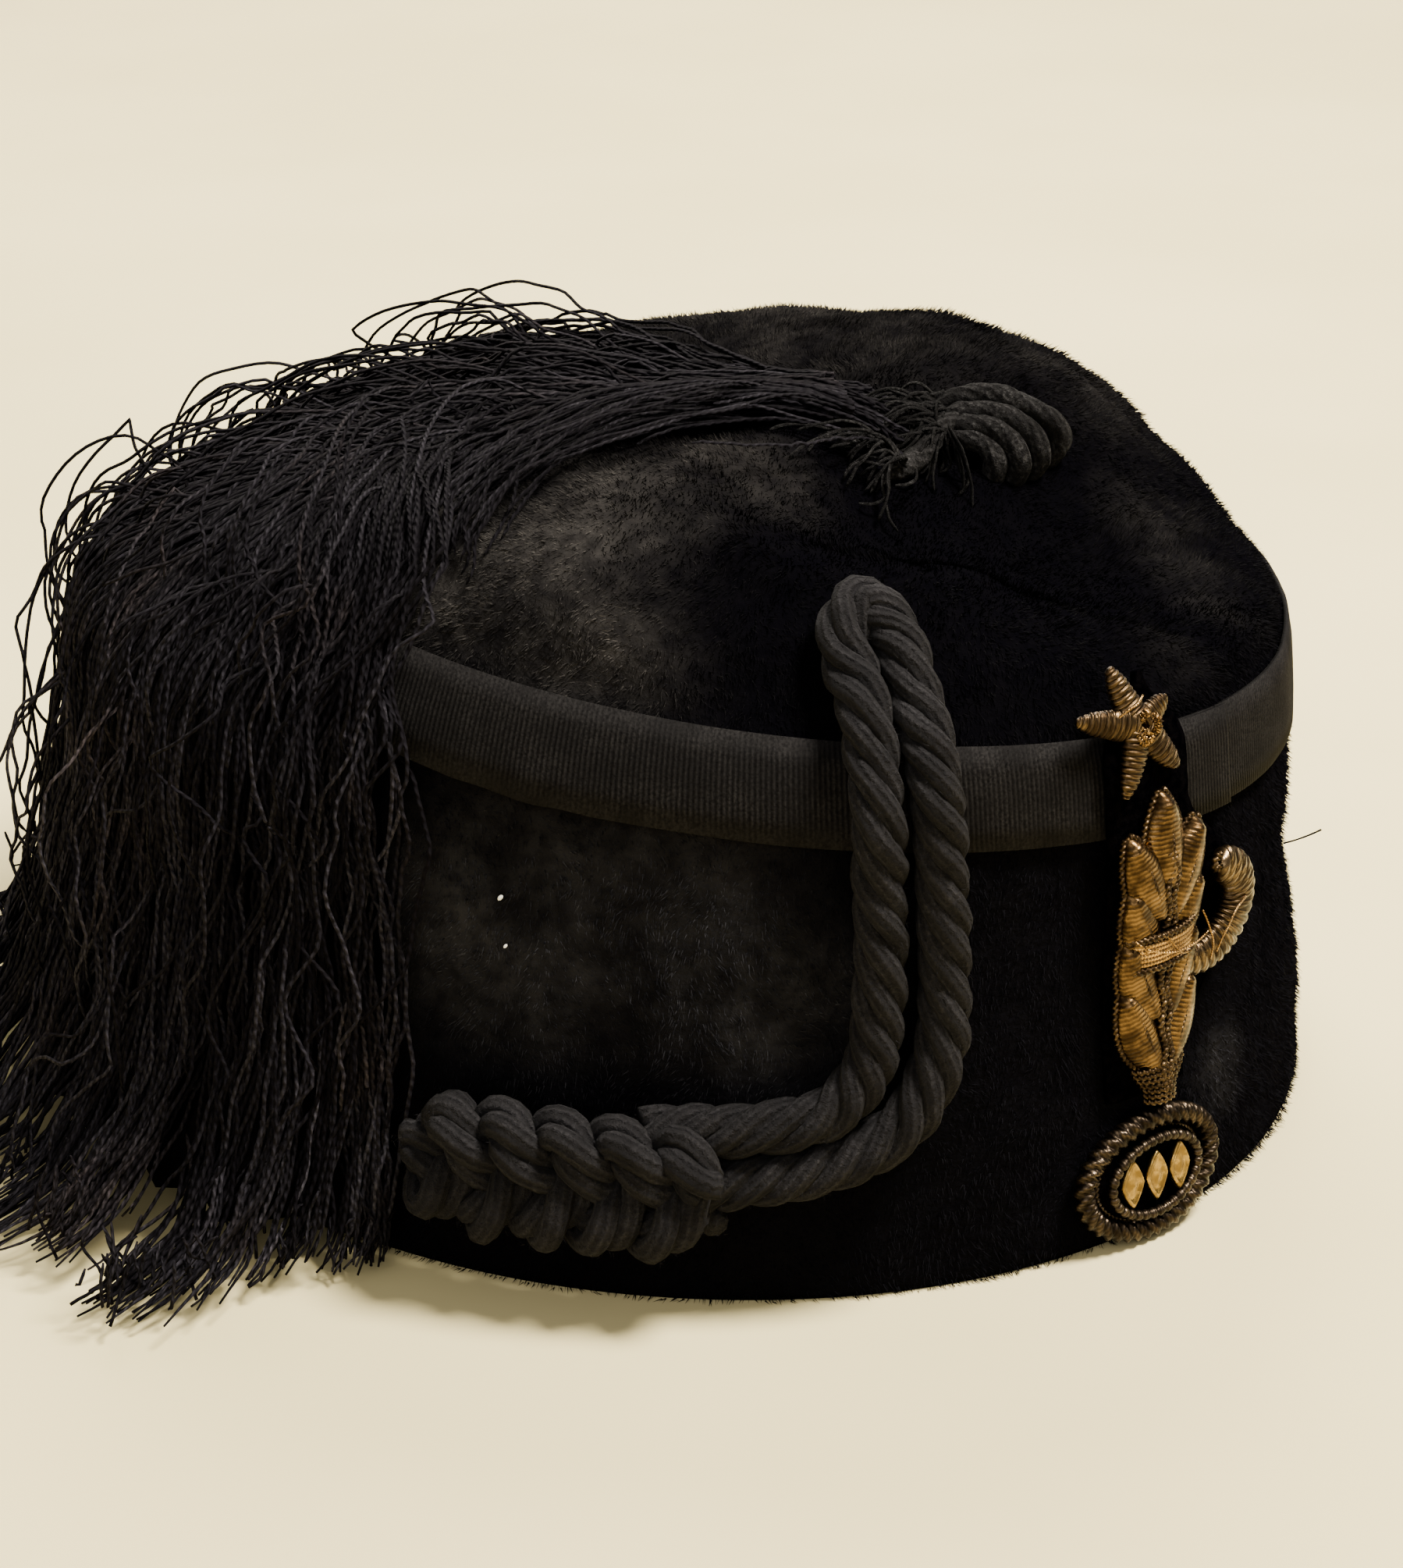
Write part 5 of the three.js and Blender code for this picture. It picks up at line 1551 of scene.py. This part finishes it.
def backing():
    """Backing cloth under the spray and star, cut close with a soft fuzzy edge."""
    rows, columns = 120, 22
    z = np.linspace(BACKING_FOOT, BACKING_TOP, rows)
    inset = 7 * ramp(z, BACKING_TOP - 11, BACKING_TOP)
    wing = 13 * bump(z - 47, 20)
    left = -8 + inset + 0.25 * waves(z, 3, 2)
    right = 7.2 - inset + wing + 0.25 * waves(z, 3, 5)
    t = np.linspace(0, 1, columns)[None]
    x = left[:, None] * (1 - t) + right[:, None] * t
    zz = z[:, None] + 0 * t
    round_edge = np.minimum(1, 9 * np.minimum(t, 1 - t)) ** 0.5
    foot = backing_seat(zz)
    top = off_front(x, zz, foot + BACKING_THICKNESS * (0.45 + 0.55 * round_edge))
    top = top + outward(top) * (0.1 * grain(top, 1.6, 4))[..., None]
    under = off_front(x[:, ::3], zz[:, ::3], foot[:, ::3])
    shape = Shape()
    shape.loft(np.concatenate([top, under[:, ::-1]], axis=1), shade=0.5)
    return shape


def loose_wires(shape, rng):
    """Fine gold threads that have come away."""
    for x0, z0, length, heading, lift in LOOSE_WIRES:
        t = np.linspace(0, 1, 16)
        a = math.radians(heading) + 0.8 * (t - 0.5) * rng.uniform(-1, 1)
        x = x0 + length * t * np.cos(a) + 0.5 * waves(t * 9, 3, rng.uniform(0, 20))
        z = z0 + length * t * np.sin(a) + 0.5 * waves(t * 9, 3, rng.uniform(0, 20))
        path = front_path(x, z, lift + 0.9 * arch(t))
        shape.sweep(smooth_path(path, 0.4), outward(smooth_path(path, 0.4)), 0.16, 5, shade=1.0)


def make_badge():
    rng = np.random.default_rng(31)
    dark_gold, gold, pale, bronze, pewter = (metal_thread(name, *look) for name, look in GOLD_WIRES.items())
    cloth = backing_cloth()
    star_shape, tendril_shape, leaves, edges = Shape(), Shape(), Shape(), Shape()
    rope, beads, bright = Shape(), Shape(), Shape()
    star(star_shape)
    tendril(tendril_shape, edges)
    spray(leaves, edges)
    foot_binding(edges)
    disc_rope(rope)
    disc_beads(beads)
    star_heart(bright, rng)
    spray_tie(bright, edges)
    loose_wires(bright, rng)
    for name, shape, material, slot, *replaces in (
            ("badge_cloth", backing(), cloth, "backing_cloth", "badge_backing"),
            ("star_coils", star_shape, dark_gold, "dark_bullion", "badge_star"),
            ("spray_leaves", leaves, gold, "bullion", "badge_spray"),
            ("spray_edges", edges, dark_gold, "dark_bullion"),
            ("tendril_coils", tendril_shape, bronze, "bullion", "badge_tendril"),
            ("disc_pad", disc_pad(), cloth, "backing_cloth", "badge_disc"),
            ("disc_rope", rope, pewter, "dark_bullion", "badge_disc_rope"),
            ("disc_beads", beads, pewter, "bullion", "badge_disc_beads"),
            ("bright_wires", bright, pale, "bullion")):
        new_piece(name, shape, material, replaces)
    gilt = gilt_metal()
    for k in range(3):
        new_piece(f"gilt_stud_{k + 1}", stud(k), gilt, [f"badge_stud_{k + 1}"])


# Lint on the plush and a stray hair

def make_lint():
    shape = Shape()
    for degrees, height, size in LINT:
        centre = off_side(degrees, height, 1.7)
        t = np.linspace(-1, 1, 7)[:, None]
        path = centre + t * size * np.array([0.5, -0.3, 0.6])
        shape.sweep(path, outward(path), size * 0.55 * np.sqrt(1.05 - t[:, 0] ** 2), 8, shade=1.0)
    new_piece("lint_specks", shape, lint_fluff())
    hair = Shape()
    start = off_side(*HAIR_START)
    t = np.linspace(0, 1, 16)[:, None]
    path = start + t * np.array([5.4, -2.6, 0.7]) + t * t * np.array([0, 0, 0.8])
    hair.sweep(path, outward(path), 0.17, 4, shade=0.0)
    new_piece("stray_hair", hair, deep_cloth())


# Floor, light and camera

def make_floor():
    s = Surface("paper", 0.85, specular=0.2)
    s.colour(s.blend(s.patches(160, 3.0, 0.3, 0.7), *FLOOR_TONES))
    s.relief(s.noise(1.2, 3.0), 0.02)
    half = FLOOR_HALF
    mesh = bpy.data.meshes.new("floor")
    corners = [(-half, -half, 0), (half, -half, 0), (half, half, 0), (-half, half, 0)]
    mesh.from_pydata(corners, [], [(0, 1, 2, 3)])
    mesh.materials.append(s.material)
    floor = bpy.data.objects.new("floor", mesh)
    bpy.context.scene.collection.objects.link(floor)


def area_light(name, place, size, power, colour):
    light = bpy.data.lights.new(name, "AREA")
    light.shape = "DISK"
    light.size = size
    light.energy = power
    light.color = colour
    lamp = bpy.data.objects.new(name, light)
    lamp.location = place
    lamp.rotation_euler = (Vector(LAMP_AIM) - Vector(place)).to_track_quat("-Z", "Y").to_euler()
    bpy.context.scene.collection.objects.link(lamp)


def make_light():
    for lamp in LAMPS:
        area_light(*lamp)
    world = bpy.data.worlds.new("soft_room")
    world.use_nodes = True
    background = world.node_tree.nodes["Background"]
    background.inputs["Color"].default_value = (*ROOM_LIGHT, 1)
    background.inputs["Strength"].default_value = ROOM_STRENGTH
    bpy.context.scene.world = world


def make_camera():
    azimuth = math.radians(CAMERA_AZIMUTH)
    elevation = math.radians(CAMERA_ELEVATION)
    roll = math.radians(CAMERA_ROLL)
    back = Vector((math.sin(azimuth) * math.cos(elevation), -math.cos(azimuth) * math.cos(elevation),
                   math.sin(elevation)))
    right = Vector((math.cos(azimuth), math.sin(azimuth), 0))
    up = back.cross(right)
    aim = Vector((AXIS[0], AXIS[1], CAMERA_AIM_HEIGHT)) + right * CAMERA_ASIDE - up * CAMERA_BELOW
    place = (aim + back * CAMERA_DISTANCE) * MM
    across = right * math.cos(roll) + up * math.sin(roll)
    over = up * math.cos(roll) - right * math.sin(roll)
    camera = bpy.data.cameras.new("camera")
    camera.lens = CAMERA_LENS
    camera.sensor_width = 36
    camera.clip_start = 0.01
    camera.clip_end = 30
    holder = bpy.data.objects.new("camera", camera)
    holder.matrix_world = Matrix.Translation(place) @ Matrix((across, over, back)).transposed().to_4x4()
    bpy.context.scene.collection.objects.link(holder)
    bpy.context.scene.camera = holder


make_camera()
make_floor()
make_light()
make_crown()
make_ribbon()
make_side_cord()
make_tassel()
make_badge()
make_lint()
